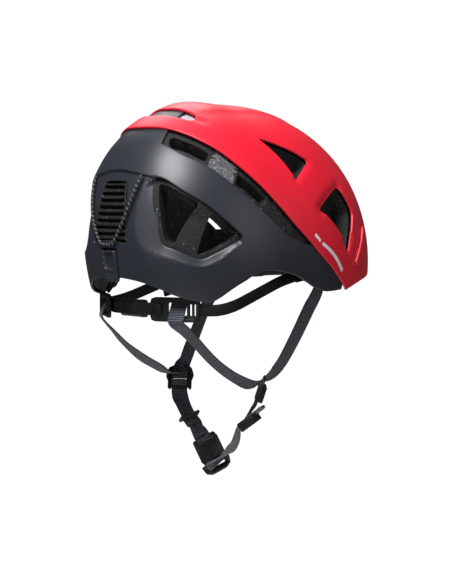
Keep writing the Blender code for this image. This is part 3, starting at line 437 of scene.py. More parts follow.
@dataclass(frozen=True)
class Dome:
    """The surface that both shells, the foam and the fittings on them follow."""

    front: tuple[float, ...] = (127, 130, 135.5, 143, 151.5, 160.5, 169.5, 178)
    side: tuple[float, ...] = (127, 121, 114, 106.5, 101, 100, 104, 113)
    rear: tuple[float, ...] = (127, 135, 137.5, 133.5, 127, 124, 127, 134.5)
    knot: float = 20.0
    squareness: float = 0.35

    def profile(self, radii: Sequence[float], polar: np.ndarray) -> np.ndarray:
        """Return a profile's radius in metres at polar angles in degrees."""
        knots = np.array([radii[1], *radii, 2 * radii[-1] - radii[-2]], dtype=float)
        spot = np.clip(np.asarray(polar) / self.knot, 0, len(radii) - 1.0001)
        index = np.floor(spot).astype(int)
        t = spot - index
        a, b, c, d = (knots[index + k] for k in range(4))
        cubic = 2 * b + (c - a) * t + (2 * a - 5 * b + 4 * c - d) * t**2
        return 0.5 * (cubic + (3 * b - a - 3 * c + d) * t**3) * MM

    def surface(self, u: np.ndarray, v: np.ndarray) -> np.ndarray:
        """Return points on the dome for disc places."""
        v = np.where(np.hypot(u, v) < 1e-6, -1e-6, v)
        polar = np.hypot(u, v)
        beside, ahead = u / polar, -v / polar
        reach = np.where(ahead > 0, self.profile(self.front, polar), self.profile(self.rear, polar))
        power = 2 + self.squareness * np.sin(np.radians(polar)) ** 2
        across = np.abs(beside) / self.profile(self.side, polar)
        radius = (across**power + (np.abs(ahead) / reach) ** power) ** (-1 / power)
        sine, cosine = np.sin(np.radians(polar)), np.cos(np.radians(polar))
        return np.stack([radius * sine * beside, -radius * sine * ahead, radius * cosine], axis=-1)

    def normal(self, u: np.ndarray, v: np.ndarray) -> np.ndarray:
        """Return the outward unit normals at disc places."""
        h = 0.4
        normal = np.cross(self.surface(u + h, v) - self.surface(u - h, v),
                          self.surface(u, v + h) - self.surface(u, v - h))
        return normal / np.linalg.norm(normal, axis=-1, keepdims=True)

    def lift(self, places: Places, offset: "np.ndarray | float") -> np.ndarray:
        """Return points at an offset outside the dome.

        Args:
            places: Disc places, one a row.
            offset: The offset of each, in metres.

        Returns:
            The points, one a row.
        """
        places = np.asarray(places, dtype=float)
        u, v = places[:, 0], places[:, 1]
        rise = np.broadcast_to(np.asarray(offset, dtype=float), (len(places),))
        return self.surface(u, v) + self.normal(u, v) * rise[:, None]

    def at(self, azimuth: float, polar: float, offset: float = 0.0, side: Side = Side.RIGHT) -> Vector:
        """Return one point at an offset outside the dome."""
        return Vector(self.lift(disc([(azimuth, polar)], side), offset)[0])


DOME = Dome()


def disc(angles: Iterable[Sequence[float]], side: Side = Side.RIGHT) -> Places:
    """Return disc places of azimuths and polar angles.

    Args:
        angles: Pairs of azimuth and polar angle, in degrees.
        side: The wearer's side they are on.

    Returns:
        The places, one a row: the polar angle times the azimuth's direction.
    """
    table = np.array(list(angles), dtype=float)
    turn = np.radians(table[:, 0])
    return np.column_stack([side.value * table[:, 1] * np.sin(turn), -table[:, 1] * np.cos(turn)])


def azimuth_of(places: Places) -> np.ndarray:
    """Return the azimuths from the front, 0 to 180, of disc places."""
    polar = np.maximum(np.hypot(places[:, 0], places[:, 1]), 1e-9)
    return np.degrees(np.arccos(np.clip(-places[:, 1] / polar, -1, 1)))


def ease(t: "np.ndarray | float") -> np.ndarray:
    """Return a smooth step of t, from 0 at 0 to 1 at 1."""
    t = np.clip(t, 0, 1)
    return t * t * (3 - 2 * t)


# ------------------------------------------------------------------ outlines

def spline(points: Sequence, step: float, closed: bool = False) -> np.ndarray:
    """Return points about a step apart along a smooth curve through the given ones."""
    points = np.asarray(points, dtype=float)
    count = len(points)
    result = []
    for i in range(count if closed else count - 1):
        if closed:
            a, b, c, d = (points[(i + k - 1) % count] for k in range(4))
        else:
            b, c = points[i], points[i + 1]
            a = points[i - 1] if i else 2 * b - c
            d = points[i + 2] if i + 2 < count else 2 * c - b
        pieces = max(1, round(float(np.linalg.norm(c - b)) / step))
        for t in np.arange(pieces) / pieces:
            cubic = 2 * b + (c - a) * t + (2 * a - 5 * b + 4 * c - d) * t**2
            result.append(0.5 * (cubic + (3 * b - a - 3 * c + d) * t**3))
    if not closed:
        result.append(points[-1])
    return np.array(result)


def rounded(corners: Sequence, radius: float, arc: int = 6) -> np.ndarray:
    """Return a closed outline with each corner replaced by a short curve."""
    corners = np.asarray(corners, dtype=float)
    result = []
    for i, here in enumerate(corners):
        before, after = corners[i - 1], corners[(i + 1) % len(corners)]
        back, on = np.linalg.norm(before - here), np.linalg.norm(after - here)
        start = here + (before - here) / back * min(radius, 0.45 * back)
        end = here + (after - here) / on * min(radius, 0.45 * on)
        for t in np.linspace(0, 1, arc):
            result.append((1 - t) ** 2 * start + 2 * t * (1 - t) * here + t**2 * end)
    return np.array(result)


def whole(half: Places) -> Places:
    """Close a right-half path that starts and ends on the middle plane."""
    return np.vstack([half, half[::-1][1:-1] * (-1, 1)])


def mirrored(outline: Places) -> Places:
    """Return an outline's mirror image on the other side."""
    return outline[::-1] * (-1, 1)


def inside(places: Places, outline: Places) -> np.ndarray:
    """Return whether each place is inside a closed outline."""
    x, y = places[:, 0], places[:, 1]
    result = np.zeros(len(places), dtype=bool)
    for i, (x2, y2) in enumerate(outline):
        x1, y1 = outline[i - 1]
        rise = y2 - y1 if y2 != y1 else 1e-12
        result ^= ((y1 > y) != (y2 > y)) & (x < (x2 - x1) * (y - y1) / rise + x1)
    return result


def evenly(outline: Places, spacing: float) -> Places:
    """Return a closed outline with points evenly spaced on the dome.

    Args:
        outline: The outline's disc places.
        spacing: The distance between points, in metres.

    Returns:
        The new outline's disc places.
    """
    loop = np.vstack([outline, outline[:1]])
    fine = np.vstack([loop[i] + (loop[i + 1] - loop[i]) * np.linspace(0, 1, 12, endpoint=False)[:, None]
                      for i in range(len(loop) - 1)] + [loop[-1:]])
    points = DOME.lift(fine, 0.0)
    run = np.concatenate([[0], np.cumsum(np.linalg.norm(np.diff(points, axis=0), axis=1))])
    marks = np.linspace(0, run[-1], max(8, round(run[-1] / spacing)), endpoint=False)
    return np.column_stack([np.interp(marks, run, fine[:, 0]), np.interp(marks, run, fine[:, 1])])


class Distance:
    """The distance over the dome from a line, in millimetres."""

    def __init__(self, line: Places, closed: bool = False) -> None:
        """Sample the line finely."""
        if closed:
            line = np.vstack([line, line[:1]])
        parts = [line[i] + (line[i + 1] - line[i]) * np.linspace(0, 1, 24)[:, None]
                 for i in range(len(line) - 1)]
        points = DOME.lift(np.vstack(parts), 0.0)
        self.tree = KDTree(len(points))
        for i, point in enumerate(points):
            self.tree.insert(point, i)
        self.tree.balance()

    def __call__(self, places: Places) -> np.ndarray:
        """Return each place's distance."""
        return np.array([self.tree.find(point)[2] for point in DOME.lift(places, 0.0)]) / MM


# ------------------------------------------------------------------ solids on the dome

def hex_places(step: float, reach: float = 116.0) -> Places:
    """Return disc places spread evenly over the dome, a step of degrees apart."""
    places = [(0.0, 0.0)]
    for ring in range(1, int(reach / step)):
        polar = ring * step
        count = max(6, round(360 * math.sin(math.radians(min(polar, 90))) / step))
        turns = 2 * math.pi * (np.arange(count) + 0.5 * (ring % 2)) / count
        places.extend(zip(polar * np.sin(turns), polar * np.cos(turns)))
    return np.array(places)


def inset_ring(loop: Places, amount: float, inwards: float) -> Places:
    """Return a loop moved sideways over the dome.

    Args:
        loop: The loop's disc places.
        amount: The distance to move, in millimetres.
        inwards: 1 to move towards the loop's inside, -1 to move away.

    Returns:
        The moved places.
    """
    ahead = np.roll(loop, -1, axis=0) - np.roll(loop, 1, axis=0)
    across = np.column_stack([-ahead[:, 1], ahead[:, 0]])
    across /= np.maximum(np.linalg.norm(across, axis=1, keepdims=True), 1e-12)
    area = 0.5 * np.sum(loop[:, 0] * np.roll(loop[:, 1], -1) - np.roll(loop[:, 0], -1) * loop[:, 1])
    across *= math.copysign(1, area) * inwards
    stretch = np.linalg.norm(DOME.lift(loop + across * 0.2, 0.0) - DOME.lift(loop, 0.0), axis=1) / 0.2
    return loop + across * (amount * MM / stretch)[:, None]


def level(offset: float) -> Relief:
    """Return a relief that keeps one offset."""
    return lambda places, gaps: np.full(len(places), offset)


@dataclass
class DomeSolid:
    """A closed solid between two offsets of the dome, inside an outline and round its holes."""

    name: str
    outline: Places
    outer: Relief
    inner: Relief
    holes: list[Places] = field(default_factory=list)
    step: float = 1.9
    spacing: float = 1.6 * MM
    rings: tuple[float, ...] = (0.12, 0.35, 0.8, 1.6, 2.8)
    extra: Places | None = None
    smooth: float = 48.0
    zones: list[tuple[Places, int]] = field(default_factory=list)
    finishes: tuple = ()

    def build(self) -> bpy.types.Object:
        """Return the solid as an object at the origin."""
        loops = [evenly(loop, self.spacing) for loop in (self.outline, *self.holes)]
        meters = [Distance(loop, closed=True) for loop in loops]
        groups = [hex_places(self.step)]
        if self.extra is not None:
            groups.append(self.extra)
        apart = [1.1 * self.rings[-1]] * len(groups)
        for i, loop in enumerate(loops):
            for amount in self.rings:
                groups.append(inset_ring(loop, amount, -1 if i else 1))
                apart.append(0.82 * amount)
        kept = []
        for group, room in zip(groups, apart):
            fit = inside(group, loops[0])
            for hole in loops[1:]:
                fit &= ~inside(group, hole)
            group = group[fit]
            near = np.min([meter(group) for meter in meters], axis=0)
            kept.append(group[near > room])
        places, triangles = self.fill(loops, np.vstack(kept))
        gaps = [meter(places) for meter in meters]
        start = 0
        for i, loop in enumerate(loops):
            gaps[i][start:start + len(loop)] = 0.0
            start += len(loop)
        layers = [DOME.lift(places, side(places, gaps)) for side in (self.inner, self.outer)]
        piece = self.close(layers[0], layers[1], triangles)
        if self.zones:
            PAINTBOX.coat(piece, *self.finishes)
            kinds = np.zeros(len(piece.data.polygons), dtype=np.int32)
            middles = places[triangles].mean(axis=1)
            for outline, kind in self.zones:
                kinds[:len(triangles)][inside(middles, outline)] = kind
            piece.data.polygons.foreach_set("material_index", kinds)
        return piece

    @staticmethod
    def fill(loops: list[Places], inner: Places) -> tuple[Places, np.ndarray]:
        """Return the places and triangles that fill the outline around its holes."""
        places = np.vstack([*loops, inner])
        edges, start = [], 0
        for loop in loops:
            edges += [(start + i, start + (i + 1) % len(loop)) for i in range(len(loop))]
            start += len(loop)
        solved = delaunay_2d_cdt([Vector(p) for p in places], edges, [], 0, 1e-7)
        points = np.array([tuple(p) for p in solved[0]])
        triangles = np.array([list(face) for face in solved[2]])
        middles = points[triangles].mean(axis=1)
        wanted = inside(middles, loops[0])
        for hole in loops[1:]:
            wanted &= ~inside(middles, hole)
        return points, triangles[wanted]

    def close(self, bottom: np.ndarray, top: np.ndarray, triangles: np.ndarray) -> bpy.types.Object:
        """Join the two layers with walls and return the smooth-shaded object."""
        count = len(bottom)
        directed = {(a, b) for tri in triangles for a, b in zip(tri, np.roll(tri, -1))}
        rim = [(a, b) for a, b in directed if (b, a) not in directed]
        faces = (triangles + count).tolist() + triangles[:, ::-1].tolist()
        faces += [(int(a), int(b), int(b) + count, int(a) + count) for a, b in rim]
        return Bench.mesh(self.name, np.vstack([bottom, top]), faces, self.smooth)


# ------------------------------------------------------------------ the bench

class Bench:
    """Hand work on one piece at a time."""

    @staticmethod
    def alone(piece: bpy.types.Object | None = None) -> None:
        """Deselect everything, then select and activate one piece."""
        if bpy.context.object and bpy.context.object.mode != "OBJECT":
            bpy.ops.object.mode_set(mode="OBJECT")
        bpy.ops.object.select_all(action="DESELECT")
        if piece is not None:
            piece.select_set(True)
            bpy.context.view_layer.objects.active = piece

    @staticmethod
    def mesh(name: str, points: Iterable, faces: Iterable, smooth: float = 48.0) -> bpy.types.Object:
        """Return a new mesh object with stray points dropped and its faces pointing out."""
        data = bpy.data.meshes.new(name)
        data.from_pydata([tuple(p) for p in points], [], [tuple(f) for f in faces])
        piece = bpy.data.objects.new(name, data)
        bpy.context.scene.collection.objects.link(piece)
        Bench.alone(piece)
        bpy.ops.object.mode_set(mode="EDIT")
        bpy.ops.mesh.select_all(action="SELECT")
        bpy.ops.mesh.delete_loose()
        bpy.ops.mesh.select_all(action="SELECT")
        bpy.ops.mesh.normals_make_consistent(inside=False)
        bpy.ops.object.mode_set(mode="OBJECT")
        if smooth:
            bpy.ops.object.shade_smooth_by_angle(angle=math.radians(smooth))
        return piece

    @staticmethod
    def modify(piece: bpy.types.Object, kind: str, **settings: object) -> None:
        """Add a modifier with its settings and apply it."""
        Bench.alone(piece)
        modifier = piece.modifiers.new(kind.lower(), kind)
        for key, value in settings.items():
            setattr(modifier, key, value)
        bpy.ops.object.modifier_apply(modifier=modifier.name)

    @staticmethod
    def soften(piece: bpy.types.Object, width: float, segments: int = 3, angle: float = 30.0) -> None:
        """Round a piece's sharp edges and shade it smooth."""
        Bench.modify(piece, "BEVEL", width=width, segments=segments, limit_method="ANGLE",
                     angle_limit=math.radians(angle), harden_normals=False, use_clamp_overlap=True)
        bpy.ops.object.shade_smooth_by_angle(angle=math.radians(38))

    @staticmethod
    def from_node(node: str, name: str, bevel: float = 0.0, segments: int = 3) -> bpy.types.Object:
        """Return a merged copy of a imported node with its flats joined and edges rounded.

        Args:
            node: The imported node.
            name: The new piece's name.
            bevel: The edges' radius, in metres.
            segments: The number of steps in each rounded edge.

        Returns:
            The new piece.
        """
        source = FRAME["nodes"][node]
        piece = bpy.data.objects.new(name, source.data.copy())
        bpy.context.scene.collection.objects.link(piece)
        Bench.alone(piece)
        bpy.ops.object.mode_set(mode="EDIT")
        bpy.ops.mesh.select_all(action="SELECT")
        bpy.ops.mesh.remove_doubles(threshold=1e-6)
        bpy.ops.mesh.dissolve_limited(angle_limit=math.radians(1.5))
        bpy.ops.mesh.normals_make_consistent(inside=False)
        bpy.ops.object.mode_set(mode="OBJECT")
        bpy.ops.mesh.customdata_custom_splitnormals_clear()
        if bevel:
            Bench.soften(piece, bevel, segments)
        return piece

    @staticmethod
    def place(piece: bpy.types.Object, place: Matrix) -> None:
        """Put a piece's mesh in a place, with its faces still pointing out."""
        piece.data.transform(place)
        if place.to_3x3().determinant() < 0:
            piece.data.flip_normals()

    @staticmethod
    def join(first: bpy.types.Object, others: Iterable[bpy.types.Object]) -> bpy.types.Object:
        """Join pieces into the first one and return it."""
        Bench.alone(first)
        for other in others:
            other.select_set(True)
        bpy.context.view_layer.objects.active = first
        bpy.ops.object.join()
        return first


PAINTBOX = Paintbox()
FRAME: dict = {}


def settle(piece: bpy.types.Object, body: Body, finishes: Sequence, *nodes: str) -> bpy.types.Object:
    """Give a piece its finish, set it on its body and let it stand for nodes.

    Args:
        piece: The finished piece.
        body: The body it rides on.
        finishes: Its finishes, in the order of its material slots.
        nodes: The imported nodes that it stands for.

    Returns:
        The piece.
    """
    if len(piece.data.materials) < len(finishes) or len(finishes) == 1:
        PAINTBOX.coat(piece, *finishes)
    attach(piece, body.value)
    if nodes:
        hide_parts(*nodes)
    LOG.info("%s: %d faces on %s", piece.name, len(piece.data.polygons), body.value)
    return piece


# ------------------------------------------------------------------ the shells

REAR_EDGE = ((180, 39.8), (170, 39.7), (160, 39.8), (151, 40.8), (139.5, 43.1), (128.5, 46.5),
             (118, 51.9), (107, 59.2), (96, 68.9), (84, 80.0), (70.5, 91.6), (57.5, 101), (47.3, 108.4))
BRIM_EDGE = ((47.3, 108.4), (38.6, 104.3), (28, 101.3), (14, 99.5), (0, 99))
CHANNEL_EDGE = ((159.3, 46.8), (147, 50.5), (136.5, 53.2), (124.5, 58.6), (115, 64.8), (104.5, 72.5),
                (91, 82.8), (79.5, 87.6))
TUCKED_EDGE = ((79.5, 87.6), (70, 89.6), (58, 97.5), (49.5, 103.8))
LOWER_RIM = ((180, 101.5), (168.8, 101.9), (155.8, 105.2), (147, 109), (140, 111.2), (133.4, 112.5),
             (127.4, 110.6), (117, 104.9), (110, 101.3), (104.8, 100.3), (92, 101.5), (82.8, 103.8),
             (71.6, 108.5), (62.6, 110.4), (55.9, 109.9), (49.0, 108.6))
TOP_SLOT = ((180, 25.6), (160, 25.8), (146, 28.6), (147.5, 33.3), (160, 32.6), (180, 32.2))
BRIM_GROOVE = ((30.2, 80.5), (33.0, 82.9), (37.6, 87.0), (43.2, 92.6), (45.6, 96.3))
# The liner's patch beside the top slot, painted pale: painted light on the black foam.
LIT_SLOT_PATCH = ((159.5, 23.0), (143, 26.0), (143, 36.0), (159.5, 35.5))
CROWN_VENT = ((97.5, 33.8), (62.7, 49.0), (80.0, 56.8))
TEMPLE_VENT = ((47.9, 63.6), (41.8, 75.8), (45.9, 84.0), (48.9, 92.6), (67.9, 71.6))
SIDE_VENT = ((157.5, 61.6), (144.2, 66.1), (131.8, 72.1), (123.8, 78.1), (118.0, 83.8), (122.1, 86.9),
             (130.2, 91.2), (137.5, 93.4), (147.8, 89.4), (153.3, 86.3), (155.7, 73.8))
FOAM_FRONT_VENT = ((131.6, 73.2), (124.4, 78.6), (119.8, 83.5), (122.8, 86.2), (130.0, 90.2), (138.2, 92.2))
FOAM_REAR_VENT = ((156.2, 62.8), (144.4, 67.2), (137.0, 70.2), (148.4, 88.2), (152.4, 85.6), (154.6, 74))
SIDE_BOWL = ((162.0, 64.5), (165.4, 76.3), (164.1, 84.6), (161.1, 88.6), (154.7, 91.5), (146.2, 94.1),
             (138.5, 96.4), (133.2, 96.1), (127.2, 93.1), (119.0, 87.0))
REAR_CREST = ((180, 58.5), (174.7, 58.7), (164.3, 60.3), (157.6, 61.3), (150.5, 63.6))
RIBBED_VENT = ((172.3, 63.3), (169.3, 78.3), (168.6, 88.0))
CHANNEL_WINDOW = ((156.6, 43.0), (133.5, 47.8), (135.2, 52.0), (155.0, 47.6))
# The liner's patch across the channel, painted grey: painted light on the black foam.
LIT_BRIDGE_PATCH = ((129.0, 44.4), (118.8, 51.2), (122.4, 60.4), (134.2, 54.5))
CHANNEL_RECESS = ((118.5, 55.0), (103.0, 65.5), (105.5, 69.5), (120.5, 59.5))
CLIP = ((33.8, 82.5), (35.4, 82.3), (38.6, 87.5), (44.4, 96.6), (42.4, 97.6), (36.0, 90.5))
TONGUE_AZIMUTH = 159.3
MM_PER_DEGREE = 2.15
HOOK_HALF = 5.2
HOOK_TOP = 89.6


def near_half(places: Places) -> Places:
    """Return places folded over onto the right half."""
    return np.column_stack([-np.abs(places[:, 0]), places[:, 1]])


def edge_round(gap: np.ndarray, radius: float) -> np.ndarray:
    """Return how far a rounded edge falls below its face, both in millimetres."""
    reach = np.clip(radius - gap, 0, radius)
    return radius - np.sqrt(np.maximum(radius**2 - reach**2, 0.0))


@dataclass
class UpperShell:
    """The red cap with its slot, its vents and the bevels round them."""

    wall: float = 1.8 * MM
    edge: float = 0.7
    band_rise: float = 1.1
    band_half: tuple[float, float] = (8.0, 15.5)
    slot_scoop: float = 1.5
    groove_depth: float = 1.15
    crown_bevel: tuple[float, float] = (1.7, 4.6)
    temple_bevel: tuple[float, float] = (2.4, 9.0)
    foot_bevel: tuple[float, float] = (1.3, 4.5)

    def __post_init__(self) -> None:
        """Lay out the outlines and the lines that the bevels follow."""
        rear = spline(disc(REAR_EDGE), 1.2)
        self.outline = whole(np.vstack([rear[:-1], spline(disc(BRIM_EDGE), 1.2)]))
        self.slot = rounded(whole(disc(TOP_SLOT)), 1.6)
        self.crown = rounded(disc(CROWN_VENT), 2.2)
        self.temple = rounded(disc(TEMPLE_VENT), 2.4)
        self.crown_lip = Distance(disc([(63.2, 49.4), (79.8, 56.2)]))
        self.temple_facet = Distance(disc([(66.5, 71.0), (49.0, 64.3)]))
        self.temple_foot = Distance(disc([(46.4, 85.0), (49.3, 92.3), (53.0, 87.5)]))
        self.groove = Distance(spline(disc(BRIM_GROOVE), 1.0))
        self.scoop = Distance(disc([(147.0, 31.0), (138.5, 31.4)]))

    def band(self, places: Places) -> np.ndarray:
        """Return the rise of the middle band, which widens rearwards and fades at both ends."""
        front, rear = self.band_half
        half_width = front + (rear - front) * np.clip((places[:, 1] + 62) / 84, 0, 1)
        rise = self.band_rise * (1 - ease((np.abs(places[:, 0]) - half_width + 1.6) / 3.2))
        return rise * (ease((24.8 - places[:, 1]) / 7.0) * ease((places[:, 1] + 66) / 30))

    def bevels(self, half: Places) -> np.ndarray:
        """Return how far the bevels beside the vents sink, each a depth and a width."""
        lines = ((self.crown_lip, self.crown_bevel), (self.temple_facet, self.temple_bevel),
                 (self.temple_foot, self.foot_bevel))
        return sum(depth * (1 - ease(line(half) / width)) for line, (depth, width) in lines)

    def outer(self, places: Places, gaps: list[np.ndarray]) -> np.ndarray:
        """Return the outside's offset."""
        half = near_half(places)
        drop = np.max([edge_round(gap, self.edge) for gap in gaps], axis=0) + self.bevels(half)
        drop += self.groove_depth * (1 - ease((self.groove(half) - 0.25) / 0.6))
        drop += self.slot_scoop * (1 - ease(self.scoop(half) / 3.4))
        return (self.band(places) - drop) * MM

    def inner(self, places: Places, gaps: list[np.ndarray]) -> np.ndarray:
        """Return the inside's offset, following the deeper bevels."""
        return -self.wall - np.minimum(self.bevels(near_half(places)), 0.35) * MM

    def build(self) -> bpy.types.Object:
        """Make the shell."""
        holes = [self.slot]
        for vent in (self.crown, self.temple):
            holes += [vent, mirrored(vent)]
        grooves = [spline(disc(BRIM_GROOVE[::2], side), 0.5) for side in Side]
        extra = np.vstack([inset_ring(groove, shift, 1) for groove in grooves
                           for shift in (-1.3, -0.8, -0.4, 0.0, 0.4, 0.8, 1.3)])
        solid = DomeSolid("upper_shell_finish", self.outline, self.outer, self.inner, holes, 1.75, extra=extra)
        return settle(solid.build(), Body.HELMET, (RED,), "upper_shell")

    def stripe(self, side: Side) -> bpy.types.Object:
        """Make the plain pad-printed stripe on the brim's side."""
        lines = (((73.2, 82.4), (69.6, 85.7), (70.4, 87.0), (74.0, 83.8)),
                 ((68.2, 86.9), (52.6, 99.5), (53.5, 101.0), (69.0, 88.2)))
        parts = []
        for corners in lines:
            solid = DomeSolid(f"{side.prefix}_brim_stripe", rounded(disc(corners, side), 0.3),
                              level(0.10 * MM), level(-0.3 * MM), [], 1.5, 1.0 * MM, (0.5,))
            parts.append(solid.build())
        piece = Bench.join(parts[0], parts[1:])
        return settle(piece, Body.HELMET, (PALE,))


@dataclass
class LowerShell:
    """The grey shell with its overhanging crest, its side bowls and its rear notch."""

    wall: float = 1.8 * MM
    top: float = -2.3
    edge: float = 0.7
    crest_step: float = 2.3
    bowl_depth: float = 3.4

    def __post_init__(self) -> None:
        """Lay out the outlines and the lines that the relief follows."""
        rim = spline(disc(LOWER_RIM), 1.2)
        notch = disc([(180, HOOK_TOP), (180 - HOOK_HALF, HOOK_TOP), (180 - HOOK_HALF, 101.5)])
        rim = rim[rim[:, 0] < notch[2][0] - 0.5]
        tucked = spline(disc(TUCKED_EDGE), 1.2)[::-1]
        channel = spline(disc(CHANNEL_EDGE), 1.2)[::-1]
        tongue = disc([(TONGUE_AZIMUTH, 20.0), (170, 20.0), (180, 20.0)])
        self.outline = whole(np.vstack([notch, rim, tucked, channel[1:], tongue]))
        self.vent = spline(disc(SIDE_VENT), 1.0, closed=True)
        ribbed = disc(RIBBED_VENT)
        self.ribbed = rounded(np.vstack([ribbed, ribbed[::-1] * (-1, 1)]), 2.0)
        self.crest = spline(disc(REAR_CREST), 1.0)
        bowl = spline(disc(SIDE_BOWL), 1.0)
        roof = disc(((118.0, 83.8), (123.8, 78.1), (131.8, 72.1), (144.2, 66.1), (157.5, 61.6)))
        self.bowl = np.vstack([bowl, roof])
        self.bowl_edge = Distance(bowl)
        self.roof = Distance(roof)

    def crest_drop(self, half: Places) -> np.ndarray:
        """Return how far the rear lies below the band over it."""
        polar = np.hypot(half[:, 0], half[:, 1])
        azimuth = azimuth_of(half)
        line = np.interp(azimuth, [a for a, _ in REAR_CREST[::-1]], [b for _, b in REAR_CREST[::-1]])
        below = (polar - line) * MM_PER_DEGREE
        step = ease((below + 0.25) / 0.9)
        fade = 1 - 0.75 * ease((polar - 66) / 30)
        around = ease((azimuth - 150.5) / 6.0)
        return self.crest_step * step * fade * around

    def bowl_drop(self, half: Places, gap: np.ndarray) -> np.ndarray:
        """Return how far the bowl round the side vent sinks in towards it."""
        edge = self.bowl_edge(half)
        share = edge / np.maximum(edge + gap, 1e-6)
        within = inside(half, self.bowl)
        sink = self.bowl_depth * share**0.85
        fade = ease(self.roof(half) / 5.0)
        return np.where(within, sink, 0.0) * fade

    def outer(self, places: Places, gaps: list[np.ndarray]) -> np.ndarray:
        """Return the outside's offset."""
        half = near_half(places)
        gap = np.minimum(gaps[2], gaps[3])
        drop = np.max([edge_round(g, self.edge) for g in gaps], axis=0)
        drop += self.crest_drop(half) + self.bowl_drop(half, gap)
        return (self.top - drop) * MM

    def inner(self, places: Places, gaps: list[np.ndarray]) -> np.ndarray:
        """Return the inside's offset, following the outside's relief."""
        half = near_half(places)
        gap = np.minimum(gaps[2], gaps[3])
        sink = self.crest_drop(half) + self.bowl_drop(half, gap)
        return (self.top - sink) * MM - self.wall

    def build(self) -> bpy.types.Object:
        """Make the shell."""
        shifts = (-1.2, -0.7, -0.4, -0.2, 0.0, 0.2, 0.4, 0.7, 1.2)
        lines = []
        for side in Side:
            crest = np.column_stack([self.crest[:, 0] * -side.value, self.crest[:, 1]])
            away = crest / np.linalg.norm(crest, axis=1, keepdims=True)
            lines += [crest + away * shift / MM_PER_DEGREE for shift in shifts]
            bowl = spline(disc(SIDE_BOWL, side), 0.8)
            lines += [bowl]
        for amount in (4.0, 5.5, 7.0):
            lines += [inset_ring(self.vent, amount, -1), inset_ring(mirrored(self.vent), amount, -1)]
        solid = DomeSolid("lower_shell_finish", self.outline, self.outer, self.inner,
                          [self.ribbed, self.vent, mirrored(self.vent)], 1.75, extra=np.vstack(lines))
        return settle(solid.build(), Body.HELMET, (GREY,), "lower_shell")


# ------------------------------------------------------------------ the foam

